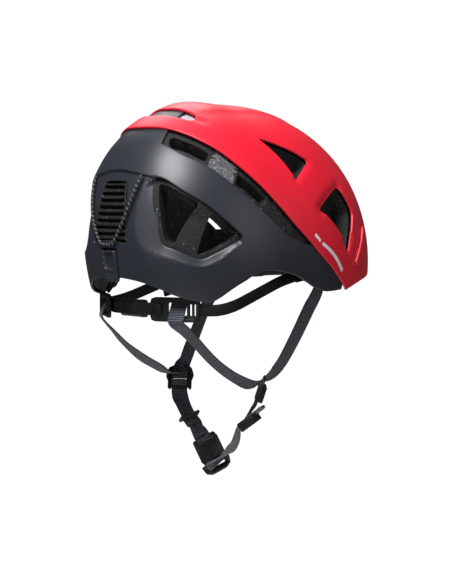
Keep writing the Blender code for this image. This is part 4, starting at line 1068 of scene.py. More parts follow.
@dataclass
class FoamLiner:
    """The bead foam liner, its rear ribbed block and the crown puck."""

    face: float = -4.7
    depth_side: float = 20.0
    depth_front: float = 34.0
    depth_rear: float = 26.0
    depth_crown: float = 24.0
    puck_angle: float = 19.0
    puck_depth: float = 8.5
    rim_inset: float = 1.2
    channel_rise: float = 1.3
    ridge_rise: float = 0.9
    well_depth: float = 9.5
    bead_height: float = 0.18
    slats: int = 9
    slat_polars: tuple[float, float] = (63.9, 87.6)
    slat_low: float = -9.2
    slat_rise: float = 5.6
    slat_frame: float = -4.3
    slat_back: float = -13.0

    def __post_init__(self) -> None:
        """Lay out the vents and the channel between the shells."""
        shapes = [rounded(disc(corners), radius) for corners, radius in (
            (FOAM_FRONT_VENT, 2.0), (FOAM_REAR_VENT, 2.5), (CROWN_VENT, 2.6), (TEMPLE_VENT, 2.6),
            (CHANNEL_WINDOW, 1.8), (CHANNEL_RECESS, 1.5))]
        self.vents = [hole for shape in shapes for hole in (shape, mirrored(shape))]
        self.channel = disc(((158.0, 42.0), (147, 43.6), (136, 45.8), (126, 49.4), (116, 55.0), (105, 62.6),
                             (95, 71.8), (84, 82.0), (91, 81.0), (104.5, 70.8), (115, 63.0), (124.5, 56.8),
                             (136.5, 51.6), (147, 48.9), (158, 45.8)))
        self.channel_edge = Distance(self.channel, closed=True)
        self.ridge = Distance(disc(((117.8, 51.6), (121.0, 60.6))))
        rim = [(a, b - self.rim_inset) for a, b in (*LOWER_RIM, *BRIM_EDGE[1:])]
        self.outline = whole(spline(disc(rim), 1.5))
        ribbed = disc(((171.6, 62.4), (168.6, 78.0), (167.8, 88.8)))
        self.well = np.vstack([ribbed, ribbed[::-1] * (-1, 1)])

    def depth(self, places: Places) -> np.ndarray:
        """Return the foam's thickness in millimetres, thinner towards the rim."""
        polar = np.maximum(np.hypot(places[:, 0], places[:, 1]), 1e-9)
        ahead = -places[:, 1] / polar
        ends = np.where(ahead > 0, self.depth_front - self.depth_side, self.depth_rear - self.depth_side)
        around = self.depth_side + ends * ahead**2
        depth = self.depth_crown + (around - self.depth_crown) * np.sin(np.radians(polar)) ** 2
        angles, polars = zip(*[*BRIM_EDGE[::-1][:-1], *LOWER_RIM[::-1]])
        near = np.clip((polar - np.interp(azimuth_of(places), angles, polars) + 16.0) / 16.0, 0, 1)
        return depth * (1 - 0.45 * ease(near))

    def outer(self, places: Places, gaps: list[np.ndarray]) -> np.ndarray:
        """Return the outside's offset."""
        half = near_half(places)
        polar = np.hypot(places[:, 0], places[:, 1])
        within = inside(half, self.channel)
        rise = np.where(within, self.channel_rise * ease(self.channel_edge(half) / 1.2), 0.0)
        rise += np.where(within, self.ridge_rise * (1 - ease(self.ridge(half) / 1.2)), 0.0)
        drop = np.max([edge_round(gap, 0.6) for gap in gaps], axis=0)
        drop += np.where(polar < self.puck_angle + 0.8, self.puck_depth + 0.9, 0.0)
        drop += np.where(inside(places, self.well), self.well_depth, 0.0)
        beads = self.bead_height * np.sin(places[:, 0] * 3.1) * np.sin(places[:, 1] * 3.3)
        return (self.face + rise - drop - self.bowl(half) + beads) * MM

    def bowl(self, half: Places) -> np.ndarray:
        """Return how far the foam steps back under the grey shell's relief."""
        azimuth, polar = azimuth_of(half), np.hypot(half[:, 0], half[:, 1])
        rear = ease((azimuth - 150) / 5) * ease((polar - 58) / 3) * 2.4
        side = ease((azimuth - 114) / 6) * ease((polar - 70) / 8) * (1 - ease((polar - 97) / 4)) * 3.4
        return np.maximum(rear, side)

    def inner(self, places: Places, gaps: list[np.ndarray]) -> np.ndarray:
        """Return the inside's offset."""
        gap = np.min(gaps, axis=0)
        return (self.face - self.depth(places) + edge_round(gap, 2.2) * 0.8) * MM

    def build(self) -> None:
        """Make the liner, the rear block and the puck."""
        turns = np.arange(0, 360, 3.0)
        rings = [disc([(t, self.puck_angle + shift) for t in turns]) for shift in (0.6, 1.0)]
        solid = DomeSolid("foam_liner_finish", self.outline, self.outer, self.inner, self.vents, 2.6, 2.2 * MM,
                          (0.3, 0.9, 2.2), np.vstack(rings), 35.0)
        # The bridge patch and the slot patch get lighter copies of the foam: painted light on the black liner.
        solid.zones = [(disc(LIT_BRIDGE_PATCH), 1), (mirrored(disc(LIT_BRIDGE_PATCH)), 1), (disc(LIT_SLOT_PATCH), 2),
                       (mirrored(disc(LIT_SLOT_PATCH)), 2)]
        solid.finishes = (DARK_FOAM, LIT_FOAM_PAINT, PALE_FOAM_AND_PAINTED_LIGHT)
        settle(solid.build(), Body.HELMET, (DARK_FOAM, LIT_FOAM_PAINT, PALE_FOAM_AND_PAINTED_LIGHT), "foam_liner")
        circle = disc([(turn, self.puck_angle - 0.2) for turn in range(0, 360, 6)])
        puck = DomeSolid("crown_puck_finish", circle[::-1], lambda p, g: (self.face - edge_round(g[0], 1.2)) * MM,
                         level((self.face - self.puck_depth) * MM), [], 3.0)
        settle(puck.build(), Body.HELMET, (PALE_FOAM_AND_PAINTED_LIGHT,), "crown_puck")
        self.ribbed_block()

    def ribbed_block(self) -> bpy.types.Object:
        """Make the block of stepped slats behind the rear vent."""
        polars = np.linspace(*self.slat_polars, self.slats * 14 + 1)
        reach = np.interp(polars, [63.3, 78.3, 88.0], [7.35, 10.35, 11.05])
        border = (0.91, 0.925, 0.96, 0.985, 1)
        across = np.array([*(-x for x in border[::-1]), *np.linspace(-0.88, 0.88, 19), *border])
        phase = (polars - polars[0]) / (polars[-1] - polars[0]) * self.slats
        wave = 0.5 + 0.5 * np.cos(2 * np.pi * (phase - 0.08))
        crest = self.slat_low + self.slat_rise * ease((wave - 0.18) / 0.5)
        top, low = [], []
        for polar, half_width, height, turn in zip(polars, reach, crest, phase):
            places = disc([(180 - half_width * abs(t), polar) for t in across])
            places[:, 0] = np.abs(places[:, 0]) * np.sign(across)
            frame_edge = (np.abs(across) > 0.92) | (turn < 0.12) | (turn > self.slats - 0.12)
            lift = np.where(frame_edge, self.slat_frame, height + 0.12 * np.sin(across * 23 + turn * 7))
            lift = lift - 0.5 * (np.abs(across) > 0.98)
            top.append(DOME.lift(places, lift * MM))
            low.append(DOME.lift(places, self.slat_back * MM))
        rows, cols = len(polars), len(across)
        points = np.vstack([np.vstack(top), np.vstack(low)])
        faces, count = [], rows * cols
        for i in range(rows - 1):
            for j in range(cols - 1):
                a, b, c, d = i * cols + j, i * cols + j + 1, (i + 1) * cols + j + 1, (i + 1) * cols + j
                faces += [(a, b, c, d), (a + count, d + count, c + count, b + count)]
        ring = [*range(cols), *[i * cols + cols - 1 for i in range(1, rows)],
                *[(rows - 1) * cols + j for j in range(cols - 2, -1, -1)],
                *[i * cols for i in range(rows - 2, 0, -1)]]
        faces += [(a, a + count, b + count, b) for a, b in zip(ring, ring[1:] + ring[:1])]
        piece = Bench.mesh("rear_vent_slats", points, faces, 40.0)
        return settle(piece, Body.HELMET, (DARK_FOAM,))


# ------------------------------------------------------------------ fittings on the shells

@dataclass
class ShellFittings:
    """The lamp clips, the rear hook and the elastic cord."""

    cord_radius: float = 1.25 * MM

    def lamp_clip(self, side: Side) -> bpy.types.Object:
        """Make one sprung lamp clip with a rounded face."""
        outline = rounded(disc(CLIP, side), 1.3)
        if side is Side.LEFT:
            outline = outline[::-1]
        solid = DomeSolid(f"{side.prefix}_lamp_clip_finish", outline,
                          lambda p, g: (2.15 - edge_round(g[0], 1.1)) * MM, level(0.35 * MM), [], 1.0, 0.9 * MM,
                          (0.15, 0.4, 0.8, 1.3))
        piece = solid.build()
        PAINTBOX.coat(piece, RED)
        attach(piece, f"{side.prefix}_lamp_clip")
        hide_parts(f"{side.prefix}_lamp_clip")
        return piece

    def rear_hook(self) -> bpy.types.Object:
        """Make the pull tab with its rounded loop and its grip ridges."""
        half = disc([(180, HOOK_TOP + 0.7), (180 - HOOK_HALF + 0.5, HOOK_TOP + 0.7), (180 - HOOK_HALF + 0.5, 101.2),
                     (180 - HOOK_HALF + 1.0, 103.0), (180, 103.2)])
        loop = rounded(whole(disc([(180, 90.8), (176.4, 90.8), (177.2, 97.6), (180, 97.9)])), 1.2)
        loop_edge = Distance(loop, closed=True)

        def outer(places: Places, gaps: list[np.ndarray]) -> np.ndarray:
            """Return the tab's outer offset, with its loop and its grip ridges."""
            within = inside(places, loop)
            near = loop_edge(places)
            rise = 0.7 - edge_round(gaps[0], 0.7)
            rise = rise + 0.8 * (1 - ease(np.abs(near - 0.6) / 1.1)) * ~within
            rise = rise - np.where(within, 1.7 * ease(near / 0.6), 0.0)
            polar = np.hypot(places[:, 0], places[:, 1])
            ridge = 0.5 + 0.5 * np.cos((polar - 99.2) * 2 * np.pi / 0.95)
            grip = (ease((polar - 98.6) / 0.3) * ease((101.9 - polar) / 0.3)
                    * ease((5.6 - np.abs(places[:, 0])) / 1.0))
            return (LowerShell.top + rise + 0.8 * ridge * grip) * MM

        solid = DomeSolid("rear_hook_finish", whole(half), outer, level(-4.1 * MM), [], 0.55, 0.9 * MM,
                          (0.15, 0.4, 0.8))
        return settle(solid.build(), Body.HOOK, (GREY,), "rear_hook")

    def elastic(self) -> bpy.types.Object:
        """Make the doubled elastic from the crest down to the hook."""
        height = (LowerShell.top + 0.35) * MM + self.cord_radius
        angles = ((163.5, 60.7), (166.0, 68.0), (169.5, 77.0), (175.2, 86.4), (180, 87.9))
        route = [DOME.at(a, b, height) for a, b in angles]
        route += [DOME.at(a, b, height, Side.LEFT) for a, b in angles[-2::-1]]
        piece = Band.tube("elastic_cord_finish", route, self.cord_radius)
        return settle(piece, Body.HELMET, (CORD,), "elastic_cord")

    def build(self) -> None:
        """Make every fitting."""
        for side in Side:
            self.lamp_clip(side)
        self.rear_hook()
        self.elastic()


# ------------------------------------------------------------------ straps and bands

Station = tuple[Vector, "float | Vector"]


class Band:
    """Straps, bands and cords swept along a smooth route with their own UV map."""

    @staticmethod
    def sweep(name: str, centres: np.ndarray, wide: np.ndarray, thick: np.ndarray, profile: np.ndarray,
              smooth: float = 50.0) -> bpy.types.Object:
        """Sweep a profile along centres.

        Args:
            name: The piece's name.
            centres: The route's points.
            wide: The profile's first direction at each point.
            thick: Its second direction.
            profile: The profile's closed outline, in metres.
            smooth: The angle under which edges are smooth.

        Returns:
            The piece, whose UV map runs across it and along it in metres.
        """
        rows, count = len(centres), len(profile)
        run = np.concatenate([[0], np.cumsum(np.linalg.norm(np.diff(centres, axis=0), axis=1))])
        points = (centres[:, None] + wide[:, None] * profile[None, :, 0:1] + thick[:, None] * profile[None, :, 1:2])
        faces, uvs = [], []
        for i in range(rows - 1):
            for k in range(count):
                m = (k + 1) % count
                faces.append((i * count + k, i * count + m, (i + 1) * count + m, (i + 1) * count + k))
                u0, u1 = profile[k][0], profile[m][0]
                uvs += [(u0, run[i]), (u1, run[i]), (u1, run[i + 1]), (u0, run[i + 1])]
        faces += [tuple(range(count))[::-1], tuple(range((rows - 1) * count, rows * count))]
        uvs += [(profile[k][0], 0.0) for k in range(count)][::-1] + [(profile[k][0], run[-1]) for k in range(count)]
        if np.linalg.det(np.array([wide[0], thick[0], centres[1] - centres[0]])) < 0:
            faces = [face[::-1] for face in faces]
            flipped, start = [], 0
            for face in faces:
                flipped += uvs[start:start + len(face)][::-1]
                start += len(face)
            uvs = flipped
        data = bpy.data.meshes.new(name)
        data.from_pydata([tuple(p) for p in points.reshape(-1, 3)], [], faces)
        layer = data.uv_layers.new(name="UVMap")
        layer.data.foreach_set("uv", np.array(uvs, dtype=np.float32).ravel())
        piece = bpy.data.objects.new(name, data)
        bpy.context.scene.collection.objects.link(piece)
        Bench.alone(piece)
        bpy.ops.object.shade_smooth_by_angle(angle=math.radians(smooth))
        return piece

    @staticmethod
    def flat_profile(width: float, thickness: float, steps: int = 8) -> np.ndarray:
        """Return a flat strap's outline with round edges."""
        x, r = width / 2 - thickness / 2, thickness / 2
        turns = np.linspace(-np.pi / 2, np.pi / 2, 5)
        right = np.column_stack([x + r * np.cos(turns), r * np.sin(turns)])
        top = np.column_stack([np.linspace(x, -x, steps + 1)[1:-1], np.full(steps - 1, r)])
        return np.vstack([right, top, -right, -top])

    @staticmethod
    def tube(name: str, route: Sequence[Vector], radius: float, sides: int = 14) -> bpy.types.Object:
        """Sweep a round cord along a smooth route; its U runs once round it."""
        path = spline([tuple(p) for p in route], 1.0 * MM)
        tangents = np.gradient(path, axis=0)
        tangents /= np.linalg.norm(tangents, axis=1, keepdims=True)
        first = np.cross(tangents, (0.0, 1.0, 0.0))
        first /= np.linalg.norm(first, axis=1, keepdims=True)
        second = np.cross(tangents, first)
        turns = np.arange(sides) * 2 * np.pi / sides
        profile = radius * np.column_stack([np.cos(turns), np.sin(turns)])
        piece = Band.sweep(name, path, first, second, profile, 80.0)
        layer = piece.data.uv_layers[0].data
        loops = piece.data.loops
        for face in piece.data.polygons:
            ks = [loops[i].vertex_index % sides for i in face.loop_indices]
            wrap = max(ks) - min(ks) > sides / 2
            for i, k in zip(face.loop_indices, ks):
                layer[i].uv[0] = (k + (sides if wrap and k < sides / 2 else 0)) / sides
        return piece

    @staticmethod
    def roll(stations: Sequence[Station], index: int, side: Side) -> float:
        """Return a station's roll in degrees, worked out where it gives its width's direction."""
        roll = stations[index][1]
        if not isinstance(roll, Vector):
            return roll
        points = [Vector(point) for point, _ in stations]
        tangent = (points[min(index + 1, len(points) - 1)] - points[max(index - 1, 0)]).normalized()
        outward = Vector((side.value, 0, 0))
        outward = (outward - tangent * outward.dot(tangent)).normalized()
        angle = math.degrees(math.atan2(roll.dot(outward), roll.dot(tangent.cross(outward))))
        return (angle + 90) % 180 - 90

    @staticmethod
    def strap(name: str, stations: Sequence[Station], width: float, thickness: float, side: Side,
              width_at: Callable[[np.ndarray], np.ndarray] | None = None) -> bpy.types.Object:
        """Make a flat strap through stations of a point and a roll about the strap.

        Args:
            name: The piece's name.
            stations: Points with a roll in degrees, or with the direction of the width.
            width: The strap's width.
            thickness: Its thickness.
            side: The side of the head that a roll of 0 faces.
            width_at: The width's share along the strap, from 0 to 1.

        Returns:
            The strap.
        """
        span = 0.01 * MM
        table = np.array([[*point, math.radians(Band.roll(stations, i, side)) * span]
                          for i, (point, _) in enumerate(stations)])
        path = spline(table, 1.3 * MM)
        centres, rolls = path[:, :3], path[:, 3] / span
        tangents = np.gradient(centres, axis=0)
        tangents /= np.linalg.norm(tangents, axis=1, keepdims=True)
        outward = np.tile([float(side.value), 0.0, 0.0], (len(path), 1))
        outward -= tangents * np.sum(outward * tangents, axis=1, keepdims=True)
        outward /= np.linalg.norm(outward, axis=1, keepdims=True)
        across = np.cross(tangents, outward)
        wide = across * np.cos(rolls)[:, None] + outward * np.sin(rolls)[:, None]
        thick = np.cross(tangents, wide)
        if width_at is not None:
            wide = wide * width_at(np.linspace(0, 1, len(path)))[:, None]
        return Band.sweep(name, centres, wide, thick, Band.flat_profile(width, thickness))

    @staticmethod
    def upright(name: str, route: Sequence[Vector], height: float, wall: float,
                ridges: float = 0.0) -> bpy.types.Object:
        """Make a moulded band that stands upright along a route, with cross ridges of a pitch if given."""
        path = spline([tuple(p) for p in route], 0.55 * MM if ridges else 2.0 * MM)
        tangents = np.gradient(path, axis=0)
        tangents /= np.linalg.norm(tangents, axis=1, keepdims=True)
        up = np.array([0.0, 0.0, 1.0]) - tangents * tangents[:, 2:3]
        up /= np.linalg.norm(up, axis=1, keepdims=True)
        outward = np.cross(tangents, up)
        if ridges:
            run = np.arange(len(path)) * 0.55 * MM
            outward = outward * (1 + 0.35 * np.sin(run * 2 * np.pi / ridges))[:, None]
        return Band.sweep(name, path, up, outward, Band.flat_profile(height, wall, 4), 35.0)


def frame_at(origin: Vector, x_axis: Sequence[float], z_axis: Sequence[float]) -> Matrix:
    """Return a matrix with a given origin, X axis and, nearly, Z axis."""
    x, z = Vector(x_axis).normalized(), Vector(z_axis)
    z = (z - x * z.dot(x)).normalized()
    frame = Matrix((x, z.cross(x), z)).transposed().to_4x4()
    frame.translation = origin
    return frame


def x_axis(frame: Matrix) -> Vector:
    """Return a frame's X axis."""
    return frame.to_3x3().col[0]


def upward(frame: Matrix) -> Matrix:
    """Return a frame with its Y axis turned to point up."""
    return frame if frame.to_3x3().col[1].z > 0 else frame @ Matrix.Diagonal((1, -1, 1, 1))


def point(x: float, y: float, z: float) -> Vector:
    """Return a point given in millimetres."""
    return Vector((x, y, z)) * MM


@dataclass
class Places3D:
    """The frames of the harness's fittings."""

    @staticmethod
    def housing(side: Side) -> Matrix:
        """Return a housing's frame: X forwards, Y up, Z out."""
        place = point(side.value * 48, 86, -50.5 if side is Side.RIGHT else -51.5)
        return upward(frame_at(place, (side.value * 0.88, -0.47, 0), (side.value * 0.47, 0.88, 0)))

    @staticmethod
    def divider(side: Side) -> Matrix:
        """Return a divider's frame: X along its top edge, Y up, Z out."""
        place = point(-56.5, -3.5, -125.5) if side is Side.RIGHT else point(56.5, -3.0, -125.0)
        return upward(frame_at(place, (0.72, side.value * 0.62, 0), (side.value * 0.62, -0.72, -0.31)))

    @staticmethod
    def slanted(origin: Vector, axis: Sequence[float], across: Sequence[float]) -> Matrix:
        """Return a frame from its Y axis and, nearly, its X axis."""
        y, x = Vector(axis).normalized(), Vector(across)
        x = (x - y * x.dot(y)).normalized()
        frame = Matrix((x, y, x.cross(y))).transposed().to_4x4()
        frame.translation = origin
        return frame

    @staticmethod
    def buckle() -> Matrix:
        """Return the buckle's frame: X across, Y socket to tongue, Z away from the wearer's right."""
        return Places3D.slanted(point(22, -4, -178), (-0.66, 0.05, -0.75), (-0.62, -0.60, 0.50))

    @staticmethod
    def adjuster() -> Matrix:
        """Return the strap adjuster's frame: X across, Y down along the strap, Z out."""
        return Places3D.slanted(point(-49.8, 4.5, -153.1), (0.68, 0.42, -0.60), (-0.55, 0.83, -0.05))


@dataclass
class Webbing:
    """All the straps, threaded through their fittings."""

    width: float = 15 * MM
    thickness: float = 1.2 * MM
    fold_thickness: float = 1.9 * MM
    front_right: tuple = (((-68, -63, -37), 10), ((-66, -52, -57), 5), ((-63, -39, -81), 8), ((-60, -27, -101), 14),
                          ((-58, -17, -111.5), 26))
    front_left: tuple = (((70, -63, -37), -8), ((66, -45, -57), 8), ((61, -27.5, -81), 7), ((57.5, -15, -100), 2),
                         ((56.5, -9, -110.5), 0))
    rear_right: tuple = (((-50.0, 75, -72), -76), ((-50.5, 62, -84), -82), ((-51, 49, -96), -80),
                         ((-53, 35, -107), -74), ((-55, 21, -115.3), -66), ((-56.5, 9.0, -120.5), -57))
    rear_left: tuple = (((47.0, 80.0, -77.0), 76), ((46.8, 68, -88), 86), ((49, 47, -102), 102),
                        ((52, 29, -111.0), 104), ((54.5, 14, -118.5), 94))
    tail_fold: tuple = ((-2.0, -3.1), (-6.5, -3.0), (-12, -3.0), (-16.2, -2.9), (-17.5, -2.5), (-17.8, -1.95),
                        (-17.2, -1.3), (-15, -1.0), (-11.6, -1.0))

    def sew(self, name: str, stations: Sequence[Station], side: Side, *nodes: str) -> None:
        """Make one of the helmet's straps and let it stand for nodes."""
        piece = Band.strap(name, stations, self.width, self.thickness, side)
        settle(piece, Body.HELMET, (WEBBING,), *nodes)

    def front(self, side: Side) -> None:
        """Make a front strap from its anchor in the liner to behind the divider."""
        sign = side.value
        stations: list[Station] = [(DOME.at(54, 93, -35 * MM, side), 6.0 * -sign),
                                   (DOME.at(52, 103, -31 * MM, side), 8.0 * -sign)]
        rows = self.front_right if side is Side.RIGHT else self.front_left
        stations += [(point(*p), float(r)) for p, r in rows]
        frame = Places3D.divider(side)
        stations.append((frame @ Vector((-1 * MM, 8 * MM, -2.0 * MM)), x_axis(frame)))
        stations.append((frame @ Vector((0, 0, -2.2 * MM)), x_axis(frame)))
        self.sew(f"{side.prefix}_front_strap_finish", stations, side, f"{side.prefix}_front_strap")

    def rear(self, side: Side) -> None:
        """Make a rear strap from the rim, out through the housing's window, to the divider."""
        frame = Places3D.housing(side)
        along = x_axis(frame)
        threaded = ((7.0, -1.8), (2.5, 0.8), (-1.5, 3.6), (-5.0, 5.4), (-11.5, 6.2))
        stations: list[Station] = [(frame @ (Vector((2.5, y, z)) * MM), along) for y, z in threaded]
        rows = self.rear_right if side is Side.RIGHT else self.rear_left
        stations += [(point(*p), float(r)) for p, r in rows]
        divider = Places3D.divider(side)
        stations.append((divider @ (Vector((0.0, 4.0, -3.4)) * MM), float(rows[-1][1])))
        self.sew(f"{side.prefix}_rear_strap_finish", stations, side, f"{side.prefix}_rear_strap")

    def left_chin(self) -> None:
        """Make the strap from the left divider to the socket's loop, with its folded end."""
        buckle, divider = Places3D.buckle(), Places3D.divider(Side.LEFT)
        front = buckle @ Vector((0, 2.0 * MM, -6.2 * MM))
        stations: list[Station] = [(divider @ Vector((0, -2 * MM, -2.4 * MM)), x_axis(divider)),
                                   (point(54.6, -1.2, -139.8), -44.0), (point(49.5, -1, -148.5), -14.0),
                                   (point(42, -1.5, -158.5), -8.0), (point(34.5, -3.0, -166.5), -10.0),
                                   (front, x_axis(buckle)),
                                   (buckle @ Vector((0, 5.2 * MM, -4.2 * MM)), x_axis(buckle))]
        self.sew("left_chin_strap_finish", stations, Side.LEFT, "left_chin_strap")
        fold: list[Station] = [(point(43.0, -3.4, -161.0), -8.0), (point(34.2, -5.0, -169.2), -10.0),
                               (buckle @ Vector((0, 0.5 * MM, -8.6 * MM)), x_axis(buckle))]
        self.sew("left_chin_strap_fold", fold, Side.LEFT)

    def link(self) -> None:
        """Make the short strap from the right divider to the strap adjuster."""
        frame, divider = Places3D.adjuster(), Places3D.divider(Side.RIGHT)
        across = x_axis(frame)
        top, bottom = divider @ Vector((0, -2 * MM, -2.4 * MM)), frame @ Vector((0, 1.0 * MM, -2.7 * MM))
        low = divider @ Vector((0, -13 * MM, -0.6 * MM))
        stations: list[Station] = [(top, x_axis(divider)), (low, across), ((low + bottom) / 2, across),
                                   (bottom, across)]
        piece = Band.strap("right_strap_link_finish", stations, self.width - 1 * MM, self.thickness, Side.RIGHT)
        settle(piece, Body.HELMET, (WEBBING,), "right_strap_link")

    def right_chin(self) -> None:
        """Make the strap from the adjuster to the tongue."""
        frame, buckle = Places3D.adjuster(), Places3D.buckle()
        bottom = buckle @ Vector((0, 28 * MM, -6.8 * MM))
        stations: list[Station] = [(frame @ Vector((0, 2.0 * MM, 1.6 * MM)), x_axis(frame)),
                                   (frame @ Vector((0, 12.0 * MM, 0.2 * MM)), x_axis(frame)),
                                   (point(-33.5, 7, -174), 10.0), (point(-22, 7.0, -187), 0.0),
                                   (bottom, x_axis(buckle)),
                                   (buckle @ Vector((0, 32.5 * MM, -3.2 * MM)), x_axis(buckle))]
        piece = Band.strap("right_chin_strap_finish", stations, self.width, self.thickness, Side.RIGHT)
        PAINTBOX.coat(piece, LIGHT_WEBBING)
        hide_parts("right_chin_strap")
        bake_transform(piece)

    def tail(self) -> None:
        """Make the adjuster's pull tail."""
        frame = Places3D.adjuster()
        across = x_axis(frame)
        stations: list[Station] = [(frame @ (Vector((0, y, z)) * MM), across)
                                   for y, z in self.tail_fold]
        piece = Band.strap("strap_tail_finish", stations, self.width - 1 * MM, self.fold_thickness, Side.RIGHT)
        settle(piece, Body.ADJUSTER, (LIGHT_WEBBING,), "strap_tail")

    def build(self) -> None:
        """Make every strap."""
        for side in Side:
            self.front(side)
            self.rear(side)
        self.left_chin()
        self.link()
        self.right_chin()
        self.tail()


# ------------------------------------------------------------------ moulded fittings

@dataclass
class Hardware:
    """The moulded fittings of the headband and the chin strap."""

    edge: float = 0.5 * MM

    def plain(self, node: str, body: "Body | str", finish: MouldedPlastic = BLACK,
              edge: float | None = None) -> bpy.types.Object:
        """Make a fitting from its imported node, with its edges rounded."""
        piece = Bench.from_node(node, f"{node}_finish", self.edge if edge is None else edge)
        PAINTBOX.coat(piece, finish)
        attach(piece, body.value if isinstance(body, Body) else body)
        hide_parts(node)
        return piece

    def bar(self, name: str, size: Sequence[float], centre: Sequence[float], place: Matrix,
            bevel: float = 0.3 * MM) -> bpy.types.Object:
        """Return a rounded bar: a cube stretched to size, in millimetres, and bevelled."""
        Bench.alone()
        bpy.ops.mesh.primitive_cube_add(size=1.0)
        piece = bpy.context.active_object
        piece.name = name
        bpy.ops.object.mode_set(mode="EDIT")
        bpy.ops.mesh.select_all(action="SELECT")
        bpy.ops.transform.resize(value=tuple(s * MM for s in size))
        bpy.ops.transform.translate(value=tuple(c * MM for c in centre))
        bpy.ops.object.mode_set(mode="OBJECT")
        Bench.soften(piece, bevel, 2)
        Bench.place(piece, place)
        return piece

    def ring(self, name: str, radius: float, tube: float, centre: Sequence[float], place: Matrix) -> bpy.types.Object:
        """Return a raised ring, in millimetres, facing along the place's Z."""
        Bench.alone()
        bpy.ops.mesh.primitive_torus_add(major_radius=radius * MM, minor_radius=tube * MM, major_segments=36,
                                         minor_segments=10)
        piece = bpy.context.active_object
        piece.name = name
        Bench.place(piece, Matrix.Translation(Vector(centre) * MM))
        Bench.place(piece, place)
        bpy.ops.object.shade_smooth()
        return piece

    def dress(self, name: str, parts: list[bpy.types.Object], body: "Body | str",
              finish: MouldedPlastic = BLACK) -> None:
        """Join small details into one piece on a body."""
        piece = Bench.join(parts[0], parts[1:])
        piece.name = name
        PAINTBOX.coat(piece, finish)
        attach(piece, body.value if isinstance(body, Body) else body)

    def housings(self, side: Side) -> None:
        """Make a housing, its button, its rails and its grip marks."""
        word, frame = side.prefix, Places3D.housing(side)
        self.plain(f"{word}_adjuster_housing", Body.HELMET, edge=0.8 * MM)
        self.plain(f"{word}_release_button", f"{word}_release_button", ACETAL)
        parts = [self.bar("rail", (3.4, 20.0, 3.6), (21.2, 0, 3.4), frame, 1.4 * MM),
                 self.bar("lower_rail", (38, 2.6, 2.2), (0, -8.6, 4.2), frame, 0.9 * MM),
                 self.bar("upper_rail", (30, 2.2, 1.6), (2, 8.8, 4.0), frame, 0.7 * MM)]
        parts += [self.bar("tooth", (0.9, 7.5, 0.9), (x, 0, 4.0), frame, 0.25 * MM)
                  for x in np.arange(-22.0, -19.4, 1.3)]
        self.dress(f"{word}_housing_rails", parts, Body.HELMET)
        marks = [self.bar("mark", (5.2, 0.7, 0.6), (-15.5, y, 4.9), frame, 0.2 * MM)
                 for y in (-2.6, -0.9, 0.9, 2.6)]
        self.dress(f"{word}_button_grips", marks, f"{word}_release_button", ACETAL)

    def dividers(self, side: Side) -> None:
        """Make a divider with its raised rim and its bumpy cam."""
        word, frame = side.prefix, Places3D.divider(side)
        self.plain(f"{word}_divider", Body.HELMET, edge=0.7 * MM)
        self.plain(f"{word}_divider_cam", f"{word}_divider_cam", ACETAL, 0.4 * MM)
        bumps = []
        for row in range(3):
            for k in range(5):
                middle = (-4.4 + 2.2 * k + (row % 2) * 0.6, -2.6 - 2.0 * row, 1.7)
                bumps.append(self.bar("bump", (1.5, 1.3, 1.1), middle, frame, 0.45 * MM))
        self.dress(f"{word}_cam_bumps", bumps, f"{word}_divider_cam", ACETAL)
        rim = [self.bar("rim", (9.0, 1.6, 1.5), (0, -10.0, 0.9), frame, 0.6 * MM),
               *(self.bar("shoulder", (1.6, 8.0, 1.4), (x, -3.6, 0.9), frame, 0.6 * MM) for x in (-9.6, 9.6))]
        rim += [self.bar("cheek", (2.6, 15.5, 7.2), (x, -3.0, 1.0), frame, 1.2 * MM) for x in (-9.7, 9.7)]
        self.dress(f"{word}_divider_rim", rim, Body.HELMET)

    def buckle(self) -> None:
        """Make the buckle's halves with their embossed details."""
        frame = Places3D.buckle()
        for node, body, edge in (("buckle_socket", Body.HELMET, 0.9), ("buckle_tongue", Body.TONGUE, 0.8),
                                 ("front_prong", Body.FRONT_PRONG, 0.7), ("rear_prong", Body.REAR_PRONG, 0.7)):
            self.plain(node, body, ACETAL, edge * MM)
        parts = []
        for z in (-4.05, 4.05):
            parts += [self.ring("emboss", 4.6, 0.45, (0, 15.5, z), frame),
                      self.ring("emboss", 2.4, 0.35, (0, 15.5, z), frame),
                      self.bar("lip", (16, 1.6, 0.9), (0, 8.2, z), frame, 0.35 * MM),
                      self.bar("lip", (17, 1.2, 0.8), (0, 22.6, z), frame, 0.3 * MM)]
        self.dress("socket_emboss", parts, Body.HELMET, ACETAL)
        ribs = [self.bar("rib", (19.0, 1.1, 5.0), (0, y, 0), frame, 0.45 * MM) for y in (33.0, 35.2)]
        self.dress("tongue_grips", ribs, Body.TONGUE, ACETAL)

    def keeper_and_adjuster(self) -> None:
        """Make the strap keeper and the ladder lock."""
        piece = Bench.from_node("strap_keeper", "strap_keeper_finish", 0.6 * MM)
        settle(piece, Body.KEEPER, (KEEPER,), "strap_keeper")
        frame = Places3D.adjuster()
        self.plain("strap_adjuster", Body.ADJUSTER, edge=0.7 * MM)
        parts = [self.bar("grip", (16, 1.0, 0.9), (0, y, 1.8), frame, 0.35 * MM) for y in (-7.4, -2.2, 3.2, 7.4)]
        parts.append(self.bar("lift", (12, 3.2, 1.6), (0, -8.6, -0.4), frame, 0.7 * MM))
        parts += [self.bar("cheek", (2.4, 17.0, 8.8), (x, 0.4, 1.0), frame, 1.15 * MM) for x in (-9.2, 9.2)]
        self.dress("adjuster_grips", parts, Body.ADJUSTER)

